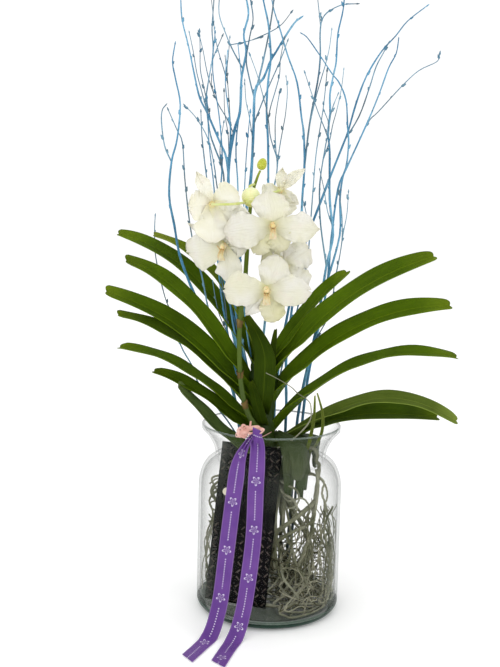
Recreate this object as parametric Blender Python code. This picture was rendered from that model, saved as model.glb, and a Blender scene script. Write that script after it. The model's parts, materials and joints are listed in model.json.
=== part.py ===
"""White vanda orchid with bare roots in a clear glass vase, with blue painted birch twigs behind it.

Metres, +Z up. The origin is the middle of the vase's bottom face. The front, where the card and the
ribbon are, looks along -Y. Routes and places of grown pieces are written in millimetres, as (x, y, z)
or as (x, z) where the piece grows in a layer of its own depth.
"""

import math
import random

import bmesh
import bpy
from mathutils import Matrix, Vector

# Vase
VASE_HEIGHT = 0.250
VASE_BODY_RADIUS = 0.0964
VASE_NECK_RADIUS = 0.0740
VASE_RIM_RADIUS = 0.0931
VASE_WALL = 0.0035
VASE_FLOOR = 0.009
VASE_CORNER = 0.012
SHOULDER_BOTTOM = 0.1646
SHOULDER_TOP = 0.204
FLARE_TOP = 0.244
VASE_STEPS = 32

# Gap between pieces that touch
SEAT = 0.0003
ON_VASE_FLOOR = VASE_FLOOR + SEAT

# Card
CARD_WIDTH = 0.078
CARD_HEIGHT = 0.207
CARD_THICKNESS = 0.0008
CARD_FOOT = (-0.040, -0.0332)
CARD_TURN = math.radians(-16.3)
CARD_LEAN = math.radians(12.2)

# Ribbon
RIBBON_WIDTH = 0.020
RIBBON_THICKNESS = 0.0007

# Plant
STEM_CLEARANCE = 0.0004
LEAF_THICKNESS = 0.0010
LEAF_STEPS = 11
TEPAL_THICKNESS = 0.0009

MM = 0.001


def clear_scene():
    for obj in list(bpy.data.objects):
        bpy.data.objects.remove(obj)


def material(name, colour, roughness, transmission=0.0):
    made = bpy.data.materials.new(name)
    made.use_nodes = True
    shader = made.node_tree.nodes["Principled BSDF"]
    shader.inputs["Base Color"].default_value = (*colour, 1.0)
    shader.inputs["Roughness"].default_value = roughness
    shader.inputs["Metallic"].default_value = 0.0
    shader.inputs["Transmission Weight"].default_value = transmission
    made.diffuse_color = (*colour, 1.0)
    return made


def in_metres(points):
    return [Vector(point) * MM for point in points]


def add_object(name, bm, finish):
    """A named object from a bmesh, smooth where its faces meet gently."""
    mesh = bpy.data.meshes.new(name)
    bm.to_mesh(mesh)
    bm.free()
    mesh.shade_smooth()
    mesh.set_sharp_from_angle(angle=math.radians(50))
    made = bpy.data.objects.new(name, mesh)
    made.data.materials.append(finish)
    bpy.context.scene.collection.objects.link(made)
    return made


def along(points, t):
    """The point at the share t of a line of points, each stretch counted alike, rounded at the corners."""
    last = len(points) - 1
    place = min(max(t, 0.0), 1.0) * last
    at = min(int(place), last - 1)
    part = place - at
    before = points[max(at - 1, 0)]
    start, end = points[at], points[at + 1]
    after = points[min(at + 2, last)]
    return 0.5 * (
        2 * start
        + (end - before) * part
        + (2 * before - 5 * start + 4 * end - after) * part**2
        + (3 * start - before - 3 * end + after) * part**3
    )


def smooth(points, steps):
    return [along(points, step / steps) for step in range(steps + 1)]


def tube(name, points, radii, finish, sides=4):
    """A round tapered twig, root or stalk through the points: a bevelled curve made into a closed mesh."""
    curve = bpy.data.curves.new(name, "CURVE")
    curve.dimensions = "3D"
    curve.bevel_depth = 1.0
    curve.bevel_resolution = sides // 2 - 2
    curve.use_fill_caps = True
    spline = curve.splines.new("POLY")
    spline.points.add(len(points) - 1)
    for knot, point, radius in zip(spline.points, points, radii):
        knot.co = (*point, 1.0)
        knot.radius = radius
    guide = bpy.data.objects.new(name, curve)
    bpy.context.scene.collection.objects.link(guide)
    graph = bpy.context.evaluated_depsgraph_get()
    bm = bmesh.new()
    bm.from_mesh(guide.evaluated_get(graph).to_mesh())
    bpy.data.objects.remove(guide)
    bmesh.ops.remove_doubles(bm, verts=bm.verts, dist=1e-6)
    bmesh.ops.recalc_face_normals(bm, faces=bm.faces)
    return add_object(name, bm, finish)


def tapered(count, thick, thin):
    return [thick + (thin - thick) * step / (count - 1) for step in range(count)]


def egg(name, centre, direction, length, radius, finish, sides=6, rings=4):
    """A bud or a knot: a ball drawn out along its direction."""
    bm = bmesh.new()
    bmesh.ops.create_uvsphere(bm, u_segments=sides, v_segments=rings, radius=1.0)
    turn = Vector(direction).to_track_quat("Z", "Y").to_matrix().to_4x4()
    size = Matrix.Diagonal((radius, radius, length / 2, 1.0))
    bmesh.ops.transform(bm, matrix=Matrix.Translation(centre) @ turn @ size, verts=bm.verts)
    return add_object(name, bm, finish)


def sheet(name, place, steps, columns, thickness, finish):
    """A thin blade: a flat grid put where place(t, u) says, for t from 0 to 1 along it and u from -1 to 1
    across it, and then thickened. Both faces are split into the same triangles."""
    bm = bmesh.new()
    bmesh.ops.create_grid(bm, x_segments=steps, y_segments=columns, size=1.0)
    for vert in bm.verts:
        vert.co = place((vert.co.x + 1) / 2, vert.co.y)
    bmesh.ops.triangulate(bm, faces=bm.faces)
    made = add_object(name, bm, finish)
    solid = made.modifiers.new("thickness", "SOLIDIFY")
    solid.thickness = thickness
    solid.offset = 0.0
    return made


def settle(obj):
    """Makes the object's modifiers part of its mesh."""
    graph = bpy.context.evaluated_depsgraph_get()
    mesh = bpy.data.meshes.new_from_object(obj.evaluated_get(graph))
    obj.modifiers.clear()
    obj.data = mesh


def fuse(body, pieces):
    """Joins the pieces to the body in one solid."""
    group = bpy.data.collections.new("pieces")
    bpy.context.scene.collection.children.link(group)
    for piece in pieces:
        bpy.context.scene.collection.objects.unlink(piece)
        group.objects.link(piece)
    joint = body.modifiers.new("union", "BOOLEAN")
    joint.operation = "UNION"
    joint.operand_type = "COLLECTION"
    joint.collection = group
    joint.solver = "MANIFOLD"
    settle(body)
    for piece in pieces:
        bpy.data.objects.remove(piece)
    bpy.data.collections.remove(group)
    return body


def cut_clear(obj, cutter):
    """Cuts the cutter's shape out of the object."""
    cut = obj.modifiers.new("clearance", "BOOLEAN")
    cut.operation = "DIFFERENCE"
    cut.object = cutter
    cut.solver = "EXACT"


def bezier(start, start_handle, end_handle, end, t):
    return (
        (1 - t) ** 3 * start
        + 3 * t * (1 - t) ** 2 * start_handle
        + 3 * t**2 * (1 - t) * end_handle
        + t**3 * end
    )


# Vase: one turned piece of glass with a thick floor, a round shoulder, a short neck and a flared rim
def ellipse_arc(centre, radii, start, end, steps):
    """(radius, height) points on a quarter of an ellipse in the vase's profile."""
    points = []
    for step in range(steps + 1):
        angle = math.radians(start + (end - start) * step / steps)
        points.append((centre[0] + radii[0] * math.cos(angle), centre[1] + radii[1] * math.sin(angle)))
    return points


def vase_wall(inset, foot, corner, lip):
    """One side of the wall from the foot to the lip, set in from the outer profile."""
    body = VASE_BODY_RADIUS - inset
    neck = VASE_NECK_RADIUS - inset
    points = ellipse_arc((body - corner, foot + corner), (corner, corner), -90, 0, 3)
    shoulder_rise = SHOULDER_TOP - SHOULDER_BOTTOM - inset
    points += ellipse_arc((neck, SHOULDER_BOTTOM), (body - neck, shoulder_rise), 0, 90, 5)
    flare_steps = 3
    for step in range(1, flare_steps + 1):
        t = step / flare_steps
        radius = neck + (VASE_RIM_RADIUS - VASE_NECK_RADIUS) * t**2
        points.append((radius, SHOULDER_TOP + (FLARE_TOP - SHOULDER_TOP) * t))
    points.append((VASE_RIM_RADIUS - inset, lip))
    return points


def make_vase(glass):
    lip_round = 0.0012
    outer = vase_wall(0.0, 0.0, VASE_CORNER, VASE_HEIGHT - lip_round)
    inner = vase_wall(VASE_WALL, VASE_FLOOR, VASE_CORNER - VASE_WALL, VASE_HEIGHT - lip_round)
    lip = [
        (VASE_RIM_RADIUS - lip_round, VASE_HEIGHT),
        (VASE_RIM_RADIUS - VASE_WALL + lip_round, VASE_HEIGHT),
    ]
    profile = [(0.0, 0.0)] + outer + lip + inner[::-1] + [(0.0, VASE_FLOOR)]
    bm = bmesh.new()
    verts = [bm.verts.new((radius, 0.0, height)) for radius, height in profile]
    edges = [bm.edges.new(pair) for pair in zip(verts[:-1], verts[1:])]
    bmesh.ops.spin(
        bm,
        geom=verts + edges,
        cent=(0, 0, 0),
        axis=(0, 0, 1),
        angle=2 * math.pi,
        steps=VASE_STEPS,
        use_merge=True,
    )
    bmesh.ops.remove_doubles(bm, verts=bm.verts, dist=1e-6)
    bmesh.ops.recalc_face_normals(bm, faces=bm.faces)
    return add_object("glass_vase", bm, glass)


def vase_room(height):
    """The vase's inner radius at a height."""
    if height > SHOULDER_TOP:
        t = min((height - SHOULDER_TOP) / (FLARE_TOP - SHOULDER_TOP), 1.0)
        return VASE_NECK_RADIUS + (VASE_RIM_RADIUS - VASE_NECK_RADIUS) * t**2 - VASE_WALL
    if height > SHOULDER_BOTTOM:
        rise = (height - SHOULDER_BOTTOM) / (SHOULDER_TOP - SHOULDER_BOTTOM)
        spread = (VASE_BODY_RADIUS - VASE_NECK_RADIUS) * math.sqrt(max(1 - rise**2, 0.0))
        return VASE_NECK_RADIUS + spread - VASE_WALL - 0.001
    low = max(VASE_FLOOR + 0.008 - height, 0.0)
    return VASE_BODY_RADIUS - VASE_WALL - low


# Card: a stiff printed card that stands on the vase's floor and leans back against its neck
def make_card(board):
    bm = bmesh.new()
    bmesh.ops.create_cube(bm, size=1.0)
    size = Matrix.Diagonal((CARD_WIDTH, CARD_THICKNESS, CARD_HEIGHT, 1.0))
    stand = Matrix.Translation((0, 0, CARD_HEIGHT / 2))
    lean = Matrix.Rotation(-CARD_LEAN, 4, "X")
    turn = Matrix.Rotation(CARD_TURN, 4, "Z")
    lift = CARD_THICKNESS / 2 * math.sin(CARD_LEAN)
    place = Matrix.Translation((*CARD_FOOT, ON_VASE_FLOOR + lift))
    bmesh.ops.transform(bm, matrix=place @ turn @ lean @ stand @ size, verts=bm.verts)
    return add_object("gift_card", bm, board)


def behind_card(point):
    """How far the point lies behind the card's plane."""
    foot = Vector((*CARD_FOOT, ON_VASE_FLOOR))
    turned = Matrix.Rotation(CARD_TURN, 3, "Z") @ Matrix.Rotation(-CARD_LEAN, 3, "X")
    return (point - foot).dot(turned @ Vector((0, 1, 0)))


# Ribbon: one length of satin ribbon doubled at the tie, with both tails falling over the rim's front,
# down past the glass and out over what the vase stands on
LEFT_TAIL = [
    (-24, -98.5, 255),
    (-33, -100.5, 245),
    (-43, -102, 220),
    (-46, -103, 189),
    (-53, -104, 123),
    (-61, -105, 46),
    (-67, -106, 18),
    (-73, -109, 2),
    (-78, -122, 0.7),
    (-84, -139, 0.7),
    (-91, -157, 0.7),
    (-97, -172, 0.7),
]
RIGHT_TAIL = [
    (-23, -98.9, 255),
    (-19, -101.5, 243),
    (-19, -104, 220),
    (-20, -106, 190),
    (-21, -107, 124),
    (-27, -108, 47),
    (-32, -109, 18),
    (-37, -113, 2),
    (-42, -128, 0.7),
    (-48, -147, 0.7),
    (-55, -166, 0.7),
    (-61, -184, 0.7),
]
RIBBON_LOWEST = 0.0006
RIBBON_GATHERED = 0.45
RIBBON_SLANT = 0.006


def ribbon_tail(name, route, turn_on_floor, satin):
    """A flat tail: gathered at the tie, full width from a little below it, and cut aslant at its end."""
    points = in_metres(route)

    def spot(t):
        point = along(points, t)
        point.z = max(point.z, RIBBON_LOWEST)
        return point

    def place(t, u):
        ahead = (spot(t + 0.01) - spot(t - 0.01)).normalized()
        on_floor = min(max((t - 0.58) / 0.08, 0.0), 1.0)
        level = Vector((1, -0.12, 0)).lerp(Vector((1, turn_on_floor, 0)), on_floor)
        side = (level - ahead * level.dot(ahead)).normalized()
        width = RIBBON_WIDTH / 2 * (RIBBON_GATHERED + (1 - RIBBON_GATHERED) * min(t / 0.12, 1.0))
        slant = ahead * RIBBON_SLANT * u if t > 0.999 else Vector()
        laid = spot(t) + side * u * width + slant
        laid.z = max(laid.z, RIBBON_LOWEST)
        return laid

    return sheet(name, place, 20, 1, RIBBON_THICKNESS, satin)


def fold_over_tie(t, u):
    """The ribbon's fold above the tie, from its left edge to its right."""
    bow = 0.003 * math.sin(math.pi * t)
    return Vector((-0.0250 + 0.011 * t, -0.0984 - bow, 0.2565 + 0.009 * u - 0.004 * t))


def make_ribbon(satin):
    ribbon = ribbon_tail("satin_ribbon", LEFT_TAIL, 0.45, satin)
    settle(ribbon)
    right = ribbon_tail("right_tail", RIGHT_TAIL, 0.38, satin)
    fold = sheet("fold", fold_over_tie, 4, 1, 0.0016, satin)
    return fuse(ribbon, [right, fold])


# Raffia tie: strands knotted round the ribbon on the rim's front, and led back to the plant's stem
TIE_CENTRE = Vector((-35, -94.5, 258.5)) * MM
TIE_STRAND = 0.0016
TIE_LOOPS = [(55, 0.0085), (105, 0.0075), (155, 0.0085), (203, 0.0090)]


def tie_loop(name, turn, reach, raffia):
    out = Vector((math.cos(math.radians(turn)), -0.3, math.sin(math.radians(turn))))
    across = Vector((-out.z, 0, out.x))
    ring = []
    for angle in (-135, -80, -25, 25, 80, 135):
        bend = math.radians(angle)
        ring.append(
            TIE_CENTRE + out * reach * (0.5 + 0.5 * math.cos(bend)) + across * 0.0035 * math.sin(bend)
        )
    return tube(name, ring, [TIE_STRAND] * len(ring), raffia)


def make_tie(raffia):
    core = egg("raffia_tie", TIE_CENTRE, (1, 0, 0.2), 0.012, 0.0042, raffia)
    pieces = [tie_loop(f"loop_{turn}", turn, reach, raffia) for turn, reach in TIE_LOOPS]
    led_back = in_metres(
        [(-34, -94, 257), (-33, -88, 252), (-31, -82, 251.9), (-14, -50, 252), (1, -18, 251), (2, -1.7, 250)]
    )
    pieces.append(tube("led_back", led_back, [0.0014] * len(led_back), raffia))
    end_up = in_metres([(-33, -95, 259), (-29, -96, 265), (-28, -97, 272)])
    pieces.append(tube("end_up", end_up, [0.0016, 0.0018, 0.0014], raffia))
    return fuse(core, pieces)


# Stem: short and upright, wrapped in the folded feet of its leaves, so it is flat and widens upwards.
# Each row is its middle (x, y, z), its half width across the fan and its half depth
STEM_ROWS = [
    (16, 13, 166, 8.0, 6.5),
    (9, 13, 190, 10.0, 7.0),
    (0, 11, 215, 12.0, 7.5),
    (-9, 5, 245, 14.0, 8.0),
    (-12, 1, 275, 17.0, 8.0),
    (-12, 0, 302, 20.0, 7.5),
    (-11, 0, 324, 20.0, 7.0),
    (-10, 0, 350, 13.0, 7.0),
]
STEM_SIDES = 12


def stem_at(height):
    """The stem's middle at a height in millimetres."""
    for low, high in zip(STEM_ROWS[:-1], STEM_ROWS[1:]):
        if height <= high[2] or high is STEM_ROWS[-1]:
            share = (height - low[2]) / (high[2] - low[2])
            return Vector(low[:3]).lerp(Vector(high[:3]), share) * MM


def stem_body(name, grow, finish):
    """The wrapped stem, grown by the clearance for its cutter."""
    bm = bmesh.new()
    rings = []
    for x, y, height, wide, deep in STEM_ROWS:
        if height == STEM_ROWS[0][2]:
            height -= grow / MM
        if height == STEM_ROWS[-1][2]:
            height += grow / MM
        ring = []
        for side in range(STEM_SIDES):
            angle = 2 * math.pi * side / STEM_SIDES
            across = (wide * MM + grow) * math.cos(angle)
            back = (deep * MM + grow) * math.sin(angle)
            ring.append(bm.verts.new((x * MM + across, y * MM + back, height * MM)))
        rings.append(ring)
    for low, high in zip(rings[:-1], rings[1:]):
        for side in range(STEM_SIDES):
            bm.faces.new((low[side - 1], low[side], high[side], high[side - 1]))
    bm.faces.new(rings[0][::-1])
    bm.faces.new(rings[-1])
    bmesh.ops.recalc_face_normals(bm, faces=bm.faces)
    return add_object(name, bm, finish)


# Leaves: two ranks of keeled straps. Each row gives the side, the height of its foot on the stem, its
# tip, the slope of its foot and of its tip in degrees, how long the foot keeps its slope, its width,
# and how far it rolls towards the front
LEAVES = {
    "leaf_left_1": (-1, 286, (-222, 88, 497), 75, 10, 0.29, 30, 30),
    "leaf_left_2": (-1, 296, (-169, 62, 497), 78, 15, 0.40, 24, 20),
    "leaf_left_3": (-1, 260, (-196, -22, 465), 58, 18, 0.31, 32, 42),
    "leaf_left_4": (-1, 232, (-228, 18, 421), 62, 16, 0.40, 34, 38),
    "leaf_left_5": (-1, 222, (-210, 6, 391), 58, 11, 0.36, 30, 24),
    "leaf_left_6": (-1, 213, (-206, -6, 348), 47, 3, 0.28, 28, 20),
    "leaf_left_7": (-1, 207, (-158, -26, 321), 33, 21, 0.36, 30, 30),
    "leaf_right_1": (1, 296, (99, 26, 455), 88, 42, 0.50, 28, 24),
    "leaf_right_2": (1, 276, (205, -28, 479), 73, 18, 0.31, 36, 44),
    "leaf_right_3": (1, 246, (224, -50, 417), 73, 1, 0.32, 34, 44),
    "leaf_right_4": (1, 226, (235, -50, 350), 57, -11, 0.38, 30, 22),
    "leaf_right_5": (1, 208, (236, -58, 268), 49, -31, 0.56, 36, 42),
    "leaf_right_6": (1, 196, (213, -14, 267), 52, -8, 0.36, 34, 26),
}


def leaf_blade(name, row, green):
    side, foot, tip, rise, fall, hold, width, roll = row
    start = stem_at(foot)
    end = Vector(tip) * MM
    depth = (end.y - start.y) / max(abs(end.x - start.x), 0.04)
    chord = (end - start).length

    def slope(angle):
        flat = math.cos(math.radians(angle))
        return Vector((side * flat, depth * flat, math.sin(math.radians(angle))))

    start_handle = start + slope(rise) * chord * hold
    end_handle = end - slope(fall) * chord * 0.36
    foot_width = 0.0062
    bite = 0.007 if foot % 2 else -0.007

    def place(t, u):
        centre = bezier(start, start_handle, end_handle, end, t)
        ahead = (
            bezier(start, start_handle, end_handle, end, t + 0.01)
            - bezier(start, start_handle, end_handle, end, t - 0.01)
        ).normalized()
        across = Vector((0, 0, 1)).cross(ahead).normalized()
        inward = ahead.cross(across)
        lean = math.radians(roll) * min(t / 0.35, 1.0)
        turned_across = across * math.cos(lean) + inward * math.sin(lean) * side
        turned_inward = inward * math.cos(lean) - across * math.sin(lean) * side
        spread = math.sin(math.pi / 2 * min(t / 0.30, 1.0))
        narrow = 1.0 - 0.42 * max(t - 0.72, 0.0) ** 1.5 / 0.28**1.5
        half = foot_width + (width * MM / 2 * narrow - foot_width) * spread
        fold = math.radians(68 - 36 * min(t / 0.35, 1.0) - 10 * t)
        notch = (bite * u - 0.006 * (1 - abs(u))) * (t > 0.999)
        return (
            centre
            + turned_across * u * half * math.cos(fold)
            + turned_inward * abs(u) * half * math.sin(fold)
            + ahead * notch
        )

    return sheet(name, place, LEAF_STEPS, 2, LEAF_THICKNESS, green)


# Leaves that stand upright and show their face to the front: the middle line, the width and the depth
# of the keel
UPRIGHT_BLADES = {
    "leaf_centre_1": (
        [
            (-12, 0, 260),
            (-13, -14, 274),
            (-12, -21, 292),
            (-11, -21.5, 320),
            (-12, -21, 345),
            (-21, -20.5, 370),
            (-37, -20, 396),
        ],
        28,
        2.0,
    ),
    "leaf_centre_2": (
        [(-6, 2, 290), (-5, -11, 297), (-4, -17.8, 306), (-2, -17.8, 340), (2, -17.8, 379)],
        12,
        1.0,
    ),
    "leaf_centre_3": ([(-9, 0, 246), (-13, -15, 255), (-20, -25, 278), (-29, -26, 311)], 16, 1.0),
    "narrow_blade_1": (
        [(17, 10, 176), (32, -8, 196), (46, -24, 218), (51, -33, 240), (54, -42, 268), (54, -46, 297)],
        6.4,
        0.8,
    ),
    "narrow_blade_2": (
        [(17, 10, 182), (38, -6, 202), (56, -22, 222), (65, -34, 245), (65, -41, 272), (57, -44, 300)],
        6.4,
        0.8,
    ),
}
BLADE_FOOT_SHARE = 0.55


def upright_blade(name, route, width, keel, green):
    points = in_metres(route)

    def place(t, u):
        spread = BLADE_FOOT_SHARE + (1 - BLADE_FOOT_SHARE) * math.sin(math.pi / 2 * min(t / 0.4, 1.0))
        half = width * MM / 2 * spread * (1 - 3.6 * max(t - 0.55, 0.0) ** 2)
        return along(points, t) + Vector((half * u, -keel * MM * abs(u), 0))

    return sheet(name, place, 8, 2, LEAF_THICKNESS, green)


# Flower spike: a green stalk from a leaf's axil with brown bracts, carrying a stalk to each bloom
SPIKE_LINE = in_metres(
    [
        (-15, -7.6, 243),
        (-26, -24, 257),
        (-36, -31, 280),
        (-43, -32, 320),
        (-45, -31, 386),
        (-40, -30, 430),
        (-38, -30, 470),
        (-36, -30, 515),
        (-33, -30, 550),
        (-27, -30, 572),
        (-23, -30, 582),
    ]
)
BRACTS = [(3, 0.0052), (4, 0.0052), (2, 0.0048)]

# Blooms: throat, way it faces, size of its middle, and its five sepals and petals. Each of those is its
# turn in degrees, its length, its width and how far it bends back
BLOOMS = {
    "bloom_1": ((-13, -92, 434), (0.06, -0.98, 0.10), 1.00, [
        (77, 45, 36, 1.0), (186, 51, 38, 1.0), (354, 57, 38, 1.0), (232, 39, 22, 1.0), (291, 40, 36, 1.0),
    ]),
    "bloom_2": ((-65, -66, 486), (-0.42, -0.90, -0.05), 0.95, [
        (154, 52, 18, 0.8), (190, 55, 42, 1.0), (273, 45, 38, 1.0), (356, 25, 26, 1.6), (80, 17, 24, 1.4),
    ]),
    "bloom_3": ((-7, -74, 512), (0.08, -0.97, 0.14), 0.95, [
        (126, 35, 34, 1.0), (0, 58, 42, 1.0), (188, 60, 38, 0.8), (239, 38, 26, 1.0), (305, 28, 22, 1.0),
    ]),
    "bloom_4": ((-82, -70, 537), (-0.30, 0.88, 0.25), 0.90, [
        (62, 44, 18, 0.8), (158, 36, 36, 1.0), (351, 28, 36, 1.2), (273, 46, 38, 0.8), (226, 42, 36, 0.8),
    ]),
    "bloom_5": ((8, -40, 462), (0.30, -0.94, 0.05), 0.90, [
        (30, 47, 40, 1.0), (318, 48, 36, 1.0), (149, 30, 30, 1.0), (266, 32, 30, 1.0), (86, 34, 32, 1.0),
    ]),
    "bloom_6": ((3, -20, 558), (0.25, 0.88, 0.35), 0.85, [
        (97, 27, 14, 0.6), (139, 42, 16, 0.6), (215, 28, 18, 1.0), (264, 38, 42, 1.0), (341, 24, 28, 1.0),
    ]),
}
# Where each bloom's stalk leaves the spike, as a share of the spike's line
SPIKE_JOINTS = {
    "bloom_1": 0.58,
    "bloom_2": 0.64,
    "bloom_3": 0.68,
    "bloom_4": 0.72,
    "bloom_5": 0.61,
    "bloom_6": 0.80,
    "large_bud": 0.86,
}
# How far the middle of a stalk is led to the front, where its bloom shows its back
STALK_TO_FRONT = {"bloom_4": 0.026, "bloom_6": 0.004}

# Closed buds: (middle, way it points, length, radius)
BUDS = {
    "large_bud": ((-34, -46, 547), (0.1, -0.5, -0.8), 25, 11.5),
    "small_bud": ((-21, -30, 590), (0.3, 0.0, 1.0), 15, 6.0),
}


def bloom_frame(facing):
    ahead = Vector(facing).normalized()
    up = (Vector((0, 0, 1)) - ahead * ahead.z).normalized()
    return Matrix((up.cross(ahead), up, ahead)).transposed()


PETAL_LIFT = 0.0012


def tepal(name, centre, frame, blade, finish):
    """One sepal or petal: a narrow claw, a broad round blade, cupped across and bent back along."""
    angle, length, width, lift, reflex = blade
    out = Vector((math.cos(math.radians(angle)), math.sin(math.radians(angle)), 0))
    across = Vector((-out.y, out.x, 0))

    def place(t, u):
        if t < 0.62:
            wide = 0.34 + 0.66 * math.sin(math.pi / 2 * t / 0.62) ** 1.2
        else:
            wide = max(math.sqrt(max(1 - ((t - 0.62) / 0.385) ** 2, 0.0)), 0.2)
        reach = length * (t - 0.06 * u**2 * t)
        bend = lift + length * (0.16 * t - 0.30 * reflex * t**2) - 0.10 * width * u**2 * wide
        local = out * reach + across * u * width / 2 * wide + Vector((0, 0, bend))
        return centre + frame @ local

    return sheet(name, place, 4, 2, TEPAL_THICKNESS, finish)


def make_bloom(name, row, white, yellow):
    throat, facing, size, blades = row
    centre = Vector(throat) * MM
    frame = bloom_frame(facing)

    def put(x, y, z):
        return centre + frame @ Vector((x, y, z)) * size

    forward = frame @ Vector((0, 0, 1))
    core = egg(name, put(0, 0, -0.0010), forward, 0.008 * size, 0.0055 * size, white, 6, 3)
    pieces = []
    for count, (angle, length, width, bend) in enumerate(blades):
        lift = PETAL_LIFT if count in (1, 2) else -PETAL_LIFT
        blade = (angle, length * MM, width * MM, lift, bend)
        pieces.append(tepal(f"{name}_{count}", centre, frame, blade, white))
    column = [put(0, 0.001, 0.0), put(0, 0.001, 0.006), put(0, -0.0005, 0.0105)]
    pieces.append(tube(f"{name}_column", column, [0.0034 * size, 0.0034 * size, 0.0028 * size], white))
    fuse(core, pieces)
    return core, make_lip(f"{name}_lip", put, size, forward, yellow)


def make_lip(name, put, size, forward, yellow):
    """The small lip under the column: a bent middle lobe between two upright side lobes."""
    line = [(-0.0034, 0.0056), (-0.0075, 0.0098), (-0.0132, 0.0135), (-0.0200, 0.0135), (-0.0245, 0.0110)]
    points = [put(0, y, z) for y, z in line]
    side = (put(1, 0, 0) - put(0, 0, 0)).normalized()

    def place(t, u):
        half = 0.0055 * size * (0.5 + 0.9 * t - 0.75 * t**3)
        return along(points, t) + side * u * half + forward * 0.0012 * u**2

    lobe = sheet(name, place, 4, 2, 0.0013, yellow)
    settle(lobe)
    wings = []
    for hand in (-1, 1):
        wing = [put(0.0022 * hand, -0.0072, 0.0075), put(0.0056 * hand, -0.0040, 0.0105)]
        wings.append(tube(f"{name}_wing_{hand}", wing, [0.0017 * size, 0.0012 * size], yellow, 4))
    return fuse(lobe, wings)


def make_spike(green):
    thickness = [3.6, 3.6, 3.5, 3.4, 3.2, 3.0, 2.9, 2.6, 2.2, 1.7, 1.3]
    spike = tube("flower_spike", SPIKE_LINE, [radius * MM for radius in thickness], green, 6)
    pieces = []
    for bract, (at, radius) in enumerate(BRACTS):
        middle = SPIKE_LINE[at]
        up = (SPIKE_LINE[at + 1] - SPIKE_LINE[at - 1]).normalized()
        pieces.append(egg(f"bract_{bract}", middle, up, 0.014, radius, green, 6))
    for name, row in BLOOMS.items():
        centre = Vector(row[0]) * MM
        forward = bloom_frame(row[1]) @ Vector((0, 0, 1))
        start = along(SPIKE_LINE, SPIKE_JOINTS[name])
        end = centre - forward * (0.0050 * row[2] + SEAT)
        before = end - forward * 0.010
        middle = start.lerp(before, 0.5) + Vector((0, -STALK_TO_FRONT.get(name, 0.0), -0.002))
        route = smooth([start, middle, before, end], 5)
        pieces.append(tube(f"stalk_{name}", route, tapered(len(route), 0.0017, 0.0012), green))
    middle, points_to, length, _ = BUDS["large_bud"]
    direction = Vector(points_to).normalized()
    base = Vector(middle) * MM - direction * (length / 2 * MM + SEAT)
    route = [along(SPIKE_LINE, SPIKE_JOINTS["large_bud"]), base - direction * 0.005, base]
    pieces.append(tube("stalk_large_bud", route, tapered(len(route), 0.0017, 0.0014), green))
    return fuse(spike, pieces)


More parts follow.
